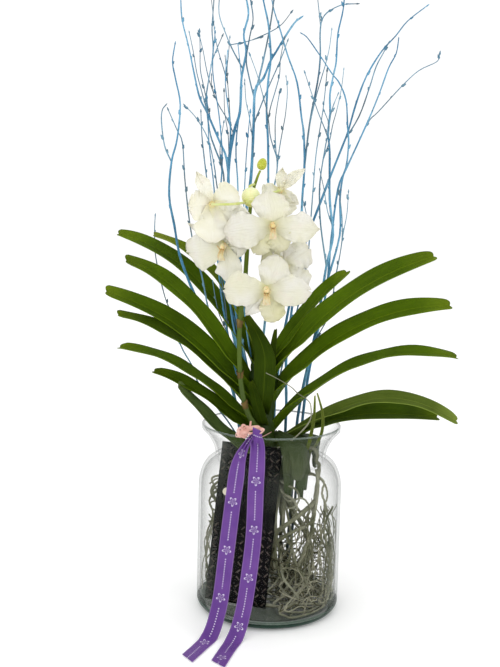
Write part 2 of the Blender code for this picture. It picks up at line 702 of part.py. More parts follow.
# Birch branches, painted blue. Each shoot is a line of (x, z) points in a layer that leans back with
# height: the layer's y at the vase's rim, its lean, the thickness at foot and tip, then the points
RIM = VASE_HEIGHT / MM
FOOT_CENTRE = (12, 50)
FOOT_GATHER = 0.55
BRANCHES = {
    "birch_branch_left": [
        (33.5, -0.115, 2.7, 0.8, [
            (-45, 250), (-59, 306), (-75, 362), (-93, 392), (-112, 431), (-127, 472), (-134, 510),
            (-141, 549), (-138, 592), (-131, 620), (-127, 663), (-133, 694), (-137, 715),
            (-134, 736),
        ]),
        (33.5, -0.115, 1.1, 0.7, [
            (-138, 592), (-147, 612), (-151, 642), (-150, 656), (-146, 662),
        ]),
        (33.5, -0.115, 1.3, 0.7, [
            (-72, 356), (-88, 400), (-97, 443), (-111, 497), (-118, 546), (-121, 575), (-124, 616),
            (-131, 632), (-142, 656),
        ]),
        (34, 0.25, 1.3, 0.7, [
            (-36, 215), (-61, 246), (-99, 290), (-111, 317), (-128, 345), (-140, 384), (-152, 410),
            (-167, 465), (-170, 500), (-170, 523),
        ]),
    ],
    "birch_branch_left_back": [
        (52, 0.1, 2.7, 0.8, [
            (-30, 250), (-42, 300), (-50, 340), (-63, 392), (-74, 443), (-74, 499), (-66, 561),
            (-70, 605), (-80, 628), (-97, 665), (-109, 688), (-117, 719), (-126, 758), (-136, 796),
            (-139, 832), (-144, 872),
        ]),
        (54, 0.1, 1.2, 0.8, [
            (-74, 470), (-90, 536), (-97, 578), (-101, 605), (-105, 637), (-107, 668),
        ]),
        (48, 0.07, 1.4, 0.8, [
            (-74, 455), (-71, 520), (-73, 582), (-85, 616), (-92, 635), (-97, 662), (-99, 686),
            (-96, 711), (-92, 736), (-91, 757), (-93, 780), (-91, 824), (-92, 862),
        ]),
        (49, 0.07, 0.9, 0.6, [
            (-92, 736), (-86, 752), (-79, 769),
        ]),
        (50, 0.05, 1.0, 0.6, [
            (-73, 520), (-81, 563), (-86, 594), (-95, 629), (-111, 656), (-127, 673),
        ]),
    ],
    "birch_branch_back": [
        (60, 0.14, 2.7, 0.9, [
            (-12, 250), (-30, 300), (-44, 340), (-53, 408), (-63, 500), (-67, 566), (-66, 607),
            (-60, 647), (-53, 673), (-52, 716), (-50, 733), (-46, 759), (-50, 783), (-44, 812),
            (-49, 842), (-50, 874),
        ]),
        (62, 0.14, 1.2, 0.7, [
            (-50, 733), (-67, 764), (-75, 782), (-86, 812), (-85, 848),
        ]),
        (62, 0.14, 0.8, 0.6, [
            (-69, 768), (-50, 772), (-27, 779),
        ]),
        (64, 0.15, 1.0, 0.6, [
            (-64, 622), (-67, 664), (-70, 700), (-76, 752),
        ]),
        (57, 0.13, 1.0, 0.6, [
            (-61, 642), (-71, 662), (-83, 681), (-93, 704), (-94, 722),
        ]),
    ],
    "birch_branch_centre": [
        (44, 0.05, 2.6, 0.8, [
            (-14, 250), (-28, 330), (-43, 400), (-49, 462), (-41, 530), (-35, 578), (-33, 644),
            (-32, 695), (-21, 712), (-12, 735), (-5, 747), (6, 766), (19, 786), (27, 793),
        ]),
        (44, 0.05, 1.4, 0.8, [
            (-32, 690), (-22, 735), (-15, 773), (-10, 811), (-8, 846), (-5, 868),
        ]),
        (46, 0.06, 1.2, 0.7, [
            (-32, 682), (-41, 715), (-45, 738), (-41, 768), (-37, 792), (-41, 822), (-40, 852),
        ]),
        (41, 0.02, 1.9, 0.8, [
            (-24, 306), (-13, 360), (-9, 450), (-11, 558), (-13, 624), (-16, 666), (-15, 704),
            (-12, 736), (-16, 777), (-22, 803), (-29, 832), (-33, 858),
        ]),
        (42, 0.04, 1.1, 0.6, [
            (-33, 650), (-23, 676), (-11, 706), (2, 737), (10, 760),
        ]),
        (38, 0.0, 1.1, 0.6, [
            (-10, 500), (-4, 560), (0, 590), (-3, 620), (-4, 655), (1, 692),
        ]),
    ],
    "birch_branch_right_centre": [
        (56, 0.08, 2.6, 0.8, [
            (5, 250), (9, 310), (17, 369), (35, 480), (37, 549), (39, 596), (37, 640), (33, 665),
            (26, 711), (12, 748), (1, 782), (-10, 815), (-15, 846),
        ]),
        (54, 0.08, 1.5, 0.7, [
            (39, 594), (45, 658), (54, 711), (57, 746), (56, 778), (58, 796), (66, 808), (85, 818),
            (105, 820),
        ]),
        (51, 0.07, 0.8, 0.6, [
            (40, 612), (45, 655), (51, 684),
        ]),
    ],
    "birch_branch_right_back": [
        (60, 0.16, 2.5, 0.8, [
            (22, 250), (21, 300), (22, 350), (38, 466), (68, 557), (94, 627), (102, 649),
            (113, 690), (127, 729), (148, 765), (168, 788), (185, 810), (212, 832),
        ]),
        (60, 0.15, 1.2, 0.7, [
            (98, 638), (117, 671), (131, 712), (140, 742), (150, 762), (157, 776),
        ]),
    ],
    "birch_branch_right": [
        (48, 0.12, 2.7, 0.8, [
            (45, 250), (59, 310), (71, 352), (81, 425), (79, 495), (87, 566), (99, 597), (125, 657),
            (141, 698), (154, 736), (164, 756), (167, 776),
        ]),
        (48, 0.13, 1.0, 0.6, [
            (119, 645), (130, 664), (142, 676), (173, 711), (197, 734), (222, 747), (226, 757),
        ]),
        (46, 0.09, 1.6, 0.7, [
            (81, 440), (90, 502), (89, 551), (92, 581), (97, 600), (99, 630), (97, 651), (94, 687),
            (84, 711), (74, 723), (57, 747), (39, 771), (31, 777),
        ]),
    ],
    "birch_branch_right_front": [
        (34, 0.02, 2.7, 0.9, [
            (40, 250), (63, 343), (71, 378), (68, 427), (71, 465), (78, 502), (72, 550), (70, 613),
            (67, 638), (69, 664), (68, 689), (72, 715), (75, 732), (76, 767), (82, 799), (84, 835),
            (86, 870),
        ]),
        (37, -0.01, 1.0, 0.6, [
            (66, 352), (76, 395), (83, 446), (88, 477), (90, 500), (89, 526), (84, 560),
        ]),
        (32, 0.01, 0.9, 0.6, [
            (68, 655), (72, 672), (78, 688),
        ]),
        (30, -0.01, 1.3, 0.6, [
            (71, 460), (60, 515), (57, 556), (58, 582), (63, 620), (67, 645), (60, 664),
        ]),
    ],
}
BUD_SPACING = 0.080
BUD_LENGTH = 0.0062
BUD_RADIUS = 0.0013
LEAVES_TOP = 0.36


def layer_points(shoot):
    """The shoot's points in metres, each set back by its layer."""
    rim_depth, lean, _, _, points = shoot
    return in_metres([(x, rim_depth + lean * (z - RIM), z) for x, z in points])


def nearest_on(points, target):
    """The point of a line of points nearest to the target."""
    best = None
    for start, end in zip(points[:-1], points[1:]):
        run = end - start
        share = min(max((target - start).dot(run) / run.length_squared, 0.0), 1.0)
        spot = start + run * share
        if best is None or (spot - target).length < (best - target).length:
            best = spot
    return best


def buds_along(name, points, draw, finish):
    """Small pointed buds on alternate sides of a shoot, from its middle to its tip."""
    pieces = []
    hand = 1
    travelled = 0.0
    total = sum((end - start).length for start, end in zip(points[:-1], points[1:]))
    next_bud = max(total * 0.30, 0.02)
    for start, end in zip(points[:-1], points[1:]):
        run = end - start
        while travelled + run.length > next_bud:
            spot = start + run * ((next_bud - travelled) / run.length)
            across = Vector((0.5, -0.5 if hand > 0 else 0.5, 0)).normalized() * hand
            direction = (run.normalized() + across * 0.75).normalized()
            centre = spot + direction * BUD_LENGTH * 0.30
            pieces.append(egg(f"{name}_bud", centre, direction, BUD_LENGTH, BUD_RADIUS, finish, 4, 2))
            next_bud += BUD_SPACING * draw.uniform(0.8, 1.6)
            hand = -hand
        travelled += run.length
    return pieces


def make_branch(name, shoots, finish, draw):
    main = layer_points(shoots[0])
    rim_x, rim_y = main[0].x / MM, main[0].y / MM
    foot_x = FOOT_CENTRE[0] + (rim_x - FOOT_CENTRE[0]) * FOOT_GATHER
    foot_y = FOOT_CENTRE[1] + (rim_y - FOOT_CENTRE[1]) * FOOT_GATHER
    foot = Vector((foot_x * MM, foot_y * MM, ON_VASE_FLOOR + 0.0004))
    main = [foot, foot.lerp(main[0], 0.5)] + main
    pieces = []
    body = None
    grown = []
    for count, shoot in enumerate(shoots):
        points = main if count == 0 else layer_points(shoot)
        if count:
            points[0] = nearest_on([point for line in grown for point in line], points[0])
        grown.append(points)
        thick, thin = shoot[2] * MM, shoot[3] * MM
        made = tube(f"{name}_{count}", points, tapered(len(points), thick, thin), finish)
        if count == 0:
            body = made
            body.name = name
        else:
            pieces.append(made)
        above_leaves = [point for point in points if point.z > LEAVES_TOP]
        pieces += buds_along(f"{name}_{count}", above_leaves, draw, finish)
    return fuse(body, pieces)


# Roots: thick grey-green cords from the plant's crown, down the glass and round the vase's floor
CROWN = Vector((16, 12, 160)) * MM
ROOT_COUNT = 14
ROOT_TAPER = 0.5
STEMS_MIDDLE = 0.004
STEMS_HALF_SPREAD = 0.054
STEMS_FRONT = 0.024


def keep_inside(point, radius):
    """Bends a root's point clear of the glass, of the card in front and of the birch stems at the back."""
    room = vase_room(point.z) - radius - 0.0016
    flat = Vector((point.x, point.y, 0))
    if flat.length > room:
        flat = flat * (room / flat.length)
    height = max(point.z, ON_VASE_FLOOR + radius)
    bent = Vector((flat.x, flat.y, height))
    card_gap = radius + 0.0022
    on_card = behind_card(bent)
    if bent.x < 0.014 and on_card < card_gap:
        bent += Vector((0.28, 0.96, 0)) * (card_gap - on_card)
    if abs(bent.x - STEMS_MIDDLE) < STEMS_HALF_SPREAD:
        bent.y = min(bent.y, STEMS_FRONT - radius)
    return bent


def root_route(turn, reach, drop, curl, draw, radius):
    """One root: out from the crown, down near the glass, then along the floor."""
    points = [CROWN]
    steps = 7
    for step in range(1, steps + 1):
        t = step / steps
        out = reach * math.sin(math.pi / 2 * min(t * 1.7, 1.0))
        height = 0.160 + 0.010 * math.sin(math.pi * min(t * 3, 1.0)) - drop * t**1.3
        angle = turn + curl * t**2 + draw.uniform(-0.10, 0.10)
        spot = Vector((CROWN.x * (1 - t) + out * math.cos(angle), out * math.sin(angle), height))
        points.append(keep_inside(spot, radius * (1 - ROOT_TAPER * t)))
    return points


def make_roots(finish):
    draw = random.Random(11)
    crown = egg("roots", CROWN - Vector((0, 0, 0.0035)), (0, 0, 1), 0.018, 0.010, finish, 8)
    pieces = []
    for count in range(ROOT_COUNT):
        turn = -1.35 + 2 * math.pi * count / ROOT_COUNT
        radius = draw.uniform(0.0018, 0.0030)
        reach = draw.uniform(0.045, 0.090)
        drop = draw.uniform(0.100, 0.150)
        curl = draw.choice((-1, 1)) * draw.uniform(0.4, 1.6)
        points = root_route(turn, reach, drop, curl, draw, radius)
        radii = tapered(len(points), radius, radius * (1 - ROOT_TAPER))
        pieces.append(tube(f"root_{count}", points, radii, finish))
    return fuse(crown, pieces)


AERIAL_ROOT = in_metres(
    [
        (4, 8, 212),
        (12, -8, 219),
        (30, -34, 238),
        (48, -44, 262),
        (49, -49, 283),
        (44, -52, 292),
        (31, -53, 301),
        (22, -53, 309),
        (4, -50, 319),
        (-10, -46, 325),
    ]
)


def make_plant(green, yellow_green, spike_green, white, yellow, root_grey):
    stem_body("stem", 0.0, green)
    clearance = stem_body("stem_clearance", STEM_CLEARANCE, green)
    clearance.hide_render = True
    clearance.display_type = "WIRE"
    for name, row in LEAVES.items():
        cut_clear(leaf_blade(name, row, green), clearance)
    for name, (route, width, keel) in UPRIGHT_BLADES.items():
        finish = yellow_green if name.startswith("narrow") else green
        cut_clear(upright_blade(name, route, width, keel, finish), clearance)
    cut_clear(
        tube("aerial_root", AERIAL_ROOT, tapered(len(AERIAL_ROOT), 0.0014, 0.0006), root_grey, 6), clearance
    )
    make_spike(spike_green)
    for name, row in BLOOMS.items():
        make_bloom(name, row, white, yellow)
    for name, (middle, points_to, length, radius) in BUDS.items():
        egg(name, Vector(middle) * MM, points_to, length * MM, radius * MM, yellow_green, 10)
    make_roots(root_grey)


def main():
    clear_scene()
    glass = material("glass", (0.86, 0.93, 0.91), 0.02, transmission=1.0)
    board = material("card_print", (0.012, 0.010, 0.012), 0.45)
    satin = material("purple_satin", (0.15, 0.045, 0.36), 0.35)
    raffia = material("pink_raffia", (0.82, 0.42, 0.38), 0.6)
    green = material("leaf_green", (0.075, 0.16, 0.022), 0.38)
    yellow_green = material("bud_green", (0.50, 0.60, 0.12), 0.45)
    spike_green = material("spike_green", (0.16, 0.26, 0.04), 0.45)
    white = material("petal_white", (0.86, 0.86, 0.80), 0.5)
    yellow = material("lip_cream", (0.83, 0.73, 0.36), 0.5)
    blue_paint = material("blue_paint", (0.045, 0.27, 0.52), 0.55)
    root_grey = material("root_grey", (0.26, 0.29, 0.17), 0.75)

    make_vase(glass)
    make_card(board)
    make_ribbon(satin)
    make_tie(raffia)
    make_plant(green, yellow_green, spike_green, white, yellow, root_grey)
    draw = random.Random(4)
    for name, shoots in BRANCHES.items():
        make_branch(name, shoots, blue_paint, draw)


main()
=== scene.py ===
"""White vanda orchid with bare roots in a clear glass vase, with blue painted birch twigs behind it.

Metres, +Z up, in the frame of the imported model. The front looks along -Y. Routes of grown pieces are
written in millimetres, and colours as the red, green and blue of a screen, from 0 to 255.
"""

import json
import math
import random

import bmesh
import bpy
from mathutils import Matrix, Vector

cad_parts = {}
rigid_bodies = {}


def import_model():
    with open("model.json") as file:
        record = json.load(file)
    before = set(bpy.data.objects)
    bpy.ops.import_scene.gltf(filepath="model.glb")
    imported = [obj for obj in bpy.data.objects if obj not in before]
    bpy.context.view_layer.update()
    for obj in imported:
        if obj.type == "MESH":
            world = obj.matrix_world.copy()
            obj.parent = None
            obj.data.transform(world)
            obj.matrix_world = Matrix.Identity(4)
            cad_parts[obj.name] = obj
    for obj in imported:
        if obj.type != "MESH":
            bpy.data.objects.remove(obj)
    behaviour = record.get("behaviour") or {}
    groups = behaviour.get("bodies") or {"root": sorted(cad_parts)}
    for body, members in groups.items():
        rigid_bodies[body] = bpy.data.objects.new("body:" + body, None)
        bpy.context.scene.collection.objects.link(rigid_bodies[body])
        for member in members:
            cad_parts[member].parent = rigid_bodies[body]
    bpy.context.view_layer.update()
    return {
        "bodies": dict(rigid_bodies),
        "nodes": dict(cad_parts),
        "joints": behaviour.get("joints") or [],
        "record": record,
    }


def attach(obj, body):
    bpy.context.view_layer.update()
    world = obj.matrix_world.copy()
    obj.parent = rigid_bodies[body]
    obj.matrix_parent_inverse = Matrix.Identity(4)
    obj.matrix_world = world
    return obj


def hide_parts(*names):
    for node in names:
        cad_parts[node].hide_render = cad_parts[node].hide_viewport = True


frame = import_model()
scene = bpy.context.scene


# Studio: a white room with a pale floor, one wide soft lamp at the front left and a weaker one at the
# right. The camera stands a little above the middle of the blooms and looks slightly down.
CAMERA_PLACE = Vector((-0.0314, -1.188, 0.5088))
CAMERA_PITCH = 0.1163
CAMERA_ROLL = 0.0229
CAMERA_LENS = 48.58
ROOM_LIGHT = 1.05
FLOOR_HALF_WIDTH = 6.0
FLOOR_HEIGHT = -0.0006

# Each lamp: where it stands, its width and its power
LAMPS = [((-1.0, -1.7, 1.9), 1.4, 6.5), ((1.6, -0.8, 1.0), 1.0, 2.5)]
LAMPS_LOOK_AT = Vector((0, 0, 0.35))

camera_data = bpy.data.cameras.new("camera")
camera_data.lens = CAMERA_LENS
camera = bpy.data.objects.new("camera", camera_data)
ahead = Vector((0, math.cos(CAMERA_PITCH), -math.sin(CAMERA_PITCH)))
level = Vector((1, 0, 0))
upright = level.cross(ahead)
right = level * math.cos(CAMERA_ROLL) + upright * math.sin(CAMERA_ROLL)
up = upright * math.cos(CAMERA_ROLL) - level * math.sin(CAMERA_ROLL)
turn = Matrix((right, up, -ahead)).transposed().to_4x4()
camera.matrix_world = Matrix.Translation(CAMERA_PLACE) @ turn
scene.collection.objects.link(camera)
scene.camera = camera

world = bpy.data.worlds.new("white_room")
world.use_nodes = True
backdrop = world.node_tree.nodes["Background"]
backdrop.inputs["Color"].default_value = (1.0, 1.0, 1.0, 1.0)
backdrop.inputs["Strength"].default_value = ROOM_LIGHT
scene.world = world
scene.view_settings.view_transform = "Standard"
scene.cycles.transparent_max_bounces = 32

for place, wide, power in LAMPS:
    lamp_data = bpy.data.lights.new("soft_lamp", "AREA")
    lamp_data.size = wide
    lamp_data.energy = power
    lamp = bpy.data.objects.new("soft_lamp", lamp_data)
    aim = (LAMPS_LOOK_AT - Vector(place)).to_track_quat("-Z", "Y").to_matrix().to_4x4()
    lamp.matrix_world = Matrix.Translation(place) @ aim
    scene.collection.objects.link(lamp)


def screen(red, green, blue):
    """A screen colour as the linear values that a shader takes."""
    shares = [value / 255 for value in (red, green, blue)]
    linear = [share / 12.92 if share <= 0.04045 else ((share + 0.055) / 1.055) ** 2.4 for share in shares]
    return (*linear, 1.0)


def new_finish(name, roughness, **settings):
    finish = bpy.data.materials.new(name)
    finish.use_nodes = True
    shader = finish.node_tree.nodes["Principled BSDF"]
    shader.inputs["Roughness"].default_value = roughness
    for socket, value in settings.items():
        shader.inputs[socket.replace("_", " ")].default_value = value
    return finish


def put_in(finish, socket, value):
    """Links an output to a socket, or writes a value in it."""
    if isinstance(value, bpy.types.NodeSocket):
        finish.node_tree.links.new(value, socket)
    else:
        socket.default_value = value


def add_node(finish, kind, inputs=None, **settings):
    made = finish.node_tree.nodes.new("ShaderNode" + kind)
    for key, value in settings.items():
        setattr(made, key, value)
    for key, value in (inputs or {}).items():
        put_in(finish, made.inputs[key], value)
    return made


def feed(finish, socket, value):
    """Sets a socket of the finish's shader."""
    put_in(finish, finish.node_tree.nodes["Principled BSDF"].inputs[socket], value)


def colours(finish, factor, *stops):
    """A run of colours along a factor, as (place, colour) stops."""
    made = add_node(finish, "ValToRGB", {"Fac": factor})
    ramp = made.color_ramp
    ramp.elements[0].position, ramp.elements[0].color = stops[0]
    ramp.elements[1].position, ramp.elements[1].color = stops[-1]
    for place, colour in stops[1:-1]:
        ramp.elements.new(place).color = colour
    return made.outputs["Color"]


def tint(finish, factor, *stops):
    """Colours the whole finish along a factor."""
    feed(finish, "Base Color", colours(finish, factor, *stops))


def own_place(finish, where, stretch):
    """The piece's own coordinates, or its UV map, drawn out by the stretch."""
    coords = add_node(finish, "TexCoord").outputs[where]
    return add_node(finish, "Mapping", {"Vector": coords, "Scale": stretch}).outputs[0]


def cloud(finish, scale, stretch=(1, 1, 1), detail=3.0, where="Object"):
    """Soft noise on the piece."""
    inputs = {"Vector": own_place(finish, where, stretch), "Scale": scale, "Detail": detail}
    return add_node(finish, "TexNoise", inputs).outputs[0]


floor_finish = new_finish("pale_floor", 0.9, Emission_Strength=0.12)
tint(
    floor_finish,
    cloud(floor_finish, 3.0),
    (0.3, screen(250, 250, 250)),
    (0.7, screen(253, 253, 253)),
)
bm = bmesh.new()
lowered = Matrix.Translation((0, 0, FLOOR_HEIGHT))
bmesh.ops.create_grid(bm, x_segments=1, y_segments=1, size=FLOOR_HALF_WIDTH, matrix=lowered)
floor_mesh = bpy.data.meshes.new("pale_floor")
bm.to_mesh(floor_mesh)
bm.free()
floor_mesh.materials.append(floor_finish)
pale_floor = bpy.data.objects.new("pale_floor", floor_mesh)
scene.collection.objects.link(pale_floor)


# Vase: one piece of clear blown glass with a thick floor, a round shoulder, a short neck and a flared rim
# with a fire-polished lip. The glass is faintly grey-green, and looks dark teal where it is seen edge on.
VASE_BODY = 0.0964
VASE_NECK = 0.0740
VASE_RIM = 0.0931
VASE_HEIGHT = 0.250
VASE_WALL = 0.0035
VASE_FLOOR = 0.009
VASE_CORNER = 0.012
SHOULDER_BOTTOM = 0.1646
SHOULDER_TOP = 0.204
FLARE_TOP = 0.244
LIP_ROUND = 0.0012
VASE_STEPS_ROUND = 144

# How much of what is behind it the glass hides, from face on to edge on
GLASS_VEIL = [
    (0.0, 0.005),
    (0.35, 0.024),
    (0.55, 0.097),
    (0.75, 0.23),
    (0.88, 0.44),
    (0.96, 0.72),
    (1.0, 1.0),
]


def quarter(centre, radii, start, steps):
    """(radius, height) points over a quarter of an ellipse in the vase's profile."""
    points = []
    for step in range(steps + 1):
        angle = math.radians(start + 90 * step / steps)
        points.append((centre[0] + radii[0] * math.cos(angle), centre[1] + radii[1] * math.sin(angle)))
    return points


def vase_side(inset, foot, corner):
    """One side of the wall from the foot to below the lip, set in from the outer profile."""
    body = VASE_BODY - inset
    neck = VASE_NECK - inset
    points = quarter((body - corner, foot + corner), (corner, corner), -90, 6)
    rise = SHOULDER_TOP - SHOULDER_BOTTOM - inset
    points += quarter((neck, SHOULDER_BOTTOM), (body - neck, rise), 0, 12)
    for step in range(1, 10):
        t = step / 9
        radius = neck + (VASE_RIM - VASE_NECK) * t**2
        points.append((radius, SHOULDER_TOP + (FLARE_TOP - SHOULDER_TOP) * t))
    points.append((VASE_RIM - inset, VASE_HEIGHT - LIP_ROUND))
    return points


def add_piece(name, bm, finish, slot, *nodes, sharp=50):
    """A finished piece of the scene from a bmesh, riding with the frame in the place of its nodes."""
    mesh = bpy.data.meshes.new(name)
    bm.to_mesh(mesh)
    bm.free()
    mesh.shade_smooth()
    mesh.set_sharp_from_angle(angle=math.radians(sharp))
    mesh.materials.append(finish)
    made = bpy.data.objects.new(name, mesh)
    scene.collection.objects.link(made)
    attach(made, "root")
    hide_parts(*nodes)
    return made


def reckon(finish, operation, *values):
    made = add_node(finish, "Math", operation=operation)
    for socket, value in zip(made.inputs, values):
        put_in(finish, socket, value)
    return made.outputs[0]


def plus(finish, one, other):
    return reckon(finish, "ADD", one, other)


def times(finish, one, other):
    return reckon(finish, "MULTIPLY", one, other)


def shift(finish, value, low, high, to_low, to_high):
    """The value moved from one range to another, and held inside it."""
    inputs = {"Value": value, "From Min": low, "From Max": high, "To Min": to_low, "To Max": to_high}
    return add_node(finish, "MapRange", inputs).outputs[0]


def mingle(finish, share, under, over, mode="MIX"):
    made = add_node(finish, "Mix", data_type="RGBA", blend_type=mode)
    for place, value in ((0, share), (6, under), (7, over)):
        put_in(finish, made.inputs[place], value)
    return made.outputs[2]


def relief(finish, height, depth):
    """A bump of the given depth in metres."""
    made = add_node(finish, "Bump", {"Height": height, "Distance": depth})
    feed(finish, "Normal", made.outputs[0])


def own_axis(finish, where, axis):
    """One coordinate of the piece, or of its UV map."""
    coords = add_node(finish, "TexCoord").outputs[where]
    return add_node(finish, "SeparateXYZ", {"Vector": coords}).outputs[axis]


glass = new_finish("clear_glass", 0.03, Specular_IOR_Level=0.6)
edge_on = add_node(glass, "LayerWeight", {"Blend": 0.5}).outputs["Facing"]
height = own_axis(glass, "Object", "Z")
level_place = {"Vector": own_place(glass, "Object", (1.0, 1.0, 0.0))}
from_axis = add_node(glass, "VectorMath", level_place, operation="LENGTH").outputs["Value"]

# The dark foot is the thick floor's rim seen edge on, with a thin painted highlight in green over it
at_base = shift(glass, height, 0.0084, 0.0102, 1.0, 0.0)
at_base = times(glass, at_base, shift(glass, from_axis, 0.080, 0.085, 0.0, 1.0))
highlight_over_base = shift(glass, height, 0.0096, 0.0110, 0.0, 1.0)
highlight_over_base = times(glass, highlight_over_base, shift(glass, height, 0.0114, 0.0130, 1.0, 0.0))
highlight_over_base = times(glass, highlight_over_base, shift(glass, from_axis, 0.086, 0.090, 0.0, 1.0))
# The thick floor is veiled in dark green: partly the thick glass's own tint, partly painted shade among the
# roots that lie on it
floor_tint_and_shade = shift(glass, height, 0.0088, 0.0098, 0.46, 0.0)
in_shoulder = shift(glass, height, 0.150, 0.172, 0.0, 0.05)
in_shoulder = times(glass, in_shoulder, shift(glass, height, 0.196, 0.206, 1.0, 0.0))
at_lip = shift(glass, height, 0.2470, 0.2490, 0.0, 0.66)
# Painted reflections: faint streaks, drawn out sideways, that veil the glass a little more here and there
painted_reflection_streaks = shift(glass, cloud(glass, 10.0, (1, 1, 2.5), 2.0), 0.52, 0.78, 0.0, 0.02)
veil = colours(glass, edge_on, *[(place, (hidden, hidden, hidden, 1.0)) for place, hidden in GLASS_VEIL])
cover = plus(glass, plus(glass, veil, painted_reflection_streaks), plus(glass, floor_tint_and_shade, in_shoulder))
cover = reckon(glass, "MAXIMUM", cover, times(glass, at_base, 0.94))
cover = reckon(glass, "MAXIMUM", cover, times(glass, highlight_over_base, 0.62))
feed(glass, "Alpha", reckon(glass, "MAXIMUM", cover, at_lip))
body_tint = colours(
    glass,
    edge_on,
    (0.0, screen(104, 112, 98)),
    (0.50, screen(92, 100, 86)),
    (0.82, screen(76, 86, 75)),
    (0.95, screen(54, 68, 60)),
    (1.0, screen(38, 52, 46)),
)
body_tint = mingle(glass, shift(glass, height, 0.2470, 0.2490, 0.0, 0.8), body_tint, screen(96, 110, 102))
# Painted shade and the floor's own tint: the thick floor darkened to dark green
body_tint = mingle(glass, shift(glass, height, 0.0088, 0.0098, 1.0, 0.0), body_tint, screen(58, 76, 52))
# Painted highlight: the thin line over the dark foot is a lighter green
body_tint = mingle(glass, highlight_over_base, body_tint, screen(54, 104, 82))
feed(glass, "Base Color", mingle(glass, at_base, body_tint, screen(4, 48, 34)))
feed(glass, "Specular IOR Level", shift(glass, at_base, 0.0, 1.0, 0.6, 0.15))
relief(glass, cloud(glass, 14.0, (1, 1, 0.6), 1.0), 0.0006)

profile = [(0.0, 0.0)] + vase_side(0.0, 0.0, VASE_CORNER)
lip_corner = LIP_ROUND * 0.3
profile += [(VASE_RIM - lip_corner, VASE_HEIGHT - lip_corner), (VASE_RIM - LIP_ROUND, VASE_HEIGHT)]
profile += [(VASE_RIM - VASE_WALL + LIP_ROUND, VASE_HEIGHT)]
profile += [(VASE_RIM - VASE_WALL + lip_corner, VASE_HEIGHT - lip_corner)]
profile += vase_side(VASE_WALL, VASE_FLOOR, VASE_CORNER - VASE_WALL)[::-1] + [(0.0, VASE_FLOOR)]
bm = bmesh.new()
ring = [bm.verts.new((radius, 0.0, rise)) for radius, rise in profile]
line = [bm.edges.new(pair) for pair in zip(ring[:-1], ring[1:])]
bmesh.ops.spin(
    bm,
    geom=ring + line,
    cent=(0, 0, 0),
    axis=(0, 0, 1),
    angle=2 * math.pi,
    steps=VASE_STEPS_ROUND,
    use_merge=True,
)
bmesh.ops.remove_doubles(bm, verts=bm.verts, dist=1e-6)
bmesh.ops.recalc_face_normals(bm, faces=bm.faces)
add_piece("vase_of_glass", bm, glass, "vase_glass", "glass_vase", sharp=70)


# Stem: short, wrapped in the folded feet of its leaves, so it is flat and widens upwards, and brownish at
# its dry foot. It hangs in the vase's neck, held by its leaves on the rim.
MM = 0.001
STEM_FOLDS = 9
STEM_FOLD_DEPTH = 0.05

# Each row is a place in the stem's middle, with its half width and half depth there
STEM_ROWS = [
    (16, 13, 166, 8.0, 6.5),
    (9, 13, 190, 10.0, 7.0),
    (0, 11, 215, 12.0, 7.5),
    (-9, 5, 245, 14.0, 8.0),
    (-12, 1, 275, 17.0, 8.0),
    (-12, 0, 302, 20.0, 7.5),
    (-11, 0, 324, 20.0, 7.0),
    (-10, 0, 350, 13.0, 7.0),
]


def laid_grid(steps, columns, place, closed=False):
    """A grid with its UV map, put where place(t, u) says, for t from 0 to 1 along and u from -1 to 1."""
    bm = bmesh.new()
    bm.loops.layers.uv.new("UVMap")
    bmesh.ops.create_grid(bm, x_segments=steps, y_segments=columns, size=1.0, calc_uvs=True)
    for vert in bm.verts:
        vert.co = place((vert.co.x + 1) / 2, vert.co.y)
    if closed:
        bmesh.ops.remove_doubles(bm, verts=bm.verts, dist=1e-6)
        bmesh.ops.holes_fill(bm, edges=bm.edges, sides=0)
        bmesh.ops.recalc_face_normals(bm, faces=bm.faces)
    return bm


def stem_surface(t, u):
    place = t * (len(STEM_ROWS) - 1)
    at = min(int(place), len(STEM_ROWS) - 2)
    low, high = STEM_ROWS[at : at + 2]
    wide, deep = [low[value] + (high[value] - low[value]) * (place - at) for value in (3, 4)]
    angle = math.pi * u
    fold = 1.0 - STEM_FOLD_DEPTH * (1 + math.cos(2 * math.pi * (STEM_FOLDS * t + 0.5 * math.cos(angle))))
    middle = Vector(low[:3]).lerp(Vector(high[:3]), place - at)
    return (middle + Vector((wide * fold * math.cos(angle), deep * fold * math.sin(angle), 0))) * MM


stem_finish = new_finish("wrapped_stem", 0.5, Specular_IOR_Level=0.25)
stem_height = shift(stem_finish, own_axis(stem_finish, "Object", "Z"), 0.16, 0.30, 0.0, 1.0)
stem_colour = colours(
    stem_finish,
    stem_height,
    (0.0, screen(74, 72, 40)),
    (0.35, screen(58, 76, 22)),
    (1.0, screen(48, 72, 14)),
)
stem_grain = cloud(stem_finish, 60.0, (3, 3, 0.4), 4.0)
stem_colour = mingle(stem_finish, stem_grain, stem_colour, screen(88, 104, 40), "SOFT_LIGHT")
feed(stem_finish, "Base Color", stem_colour)
relief(stem_finish, stem_grain, 0.0008)
add_piece(
    "stem_of_sheaths",
    laid_grid(96, 40, stem_surface, closed=True),
    stem_finish,
    "leaf_green",
    "stem",
)


# Old sheaths: the dried feet of lost leaves, which clasp the stem in the neck and bell out on its right.
# They are dull dark olive, papery, folded along, and rounded at their lower ends.
SHEATH_TOP = 0.238
SHEATH_THICKNESS = 0.0005

# Each row is the way that it faces in degrees, half the turn that it takes up, its distance from the
# stem's middle, and its lower end
OLD_SHEATHS = [
    (-63, 15, 0.050, 0.190),
    (-50, 17, 0.054, 0.182),
    (-36, 17, 0.050, 0.192),
    (-22, 17, 0.055, 0.184),
    (-8, 16, 0.053, 0.191),
    (6, 14, 0.061, 0.188),
    (18, 12, 0.066, 0.198),
    (-20, 11, 0.047, 0.164),
    (-55, 11, 0.036, 0.165),
    (-45, 19, 0.038, 0.154),
    (-24, 16, 0.042, 0.151),
    (-6, 15, 0.046, 0.159),
]


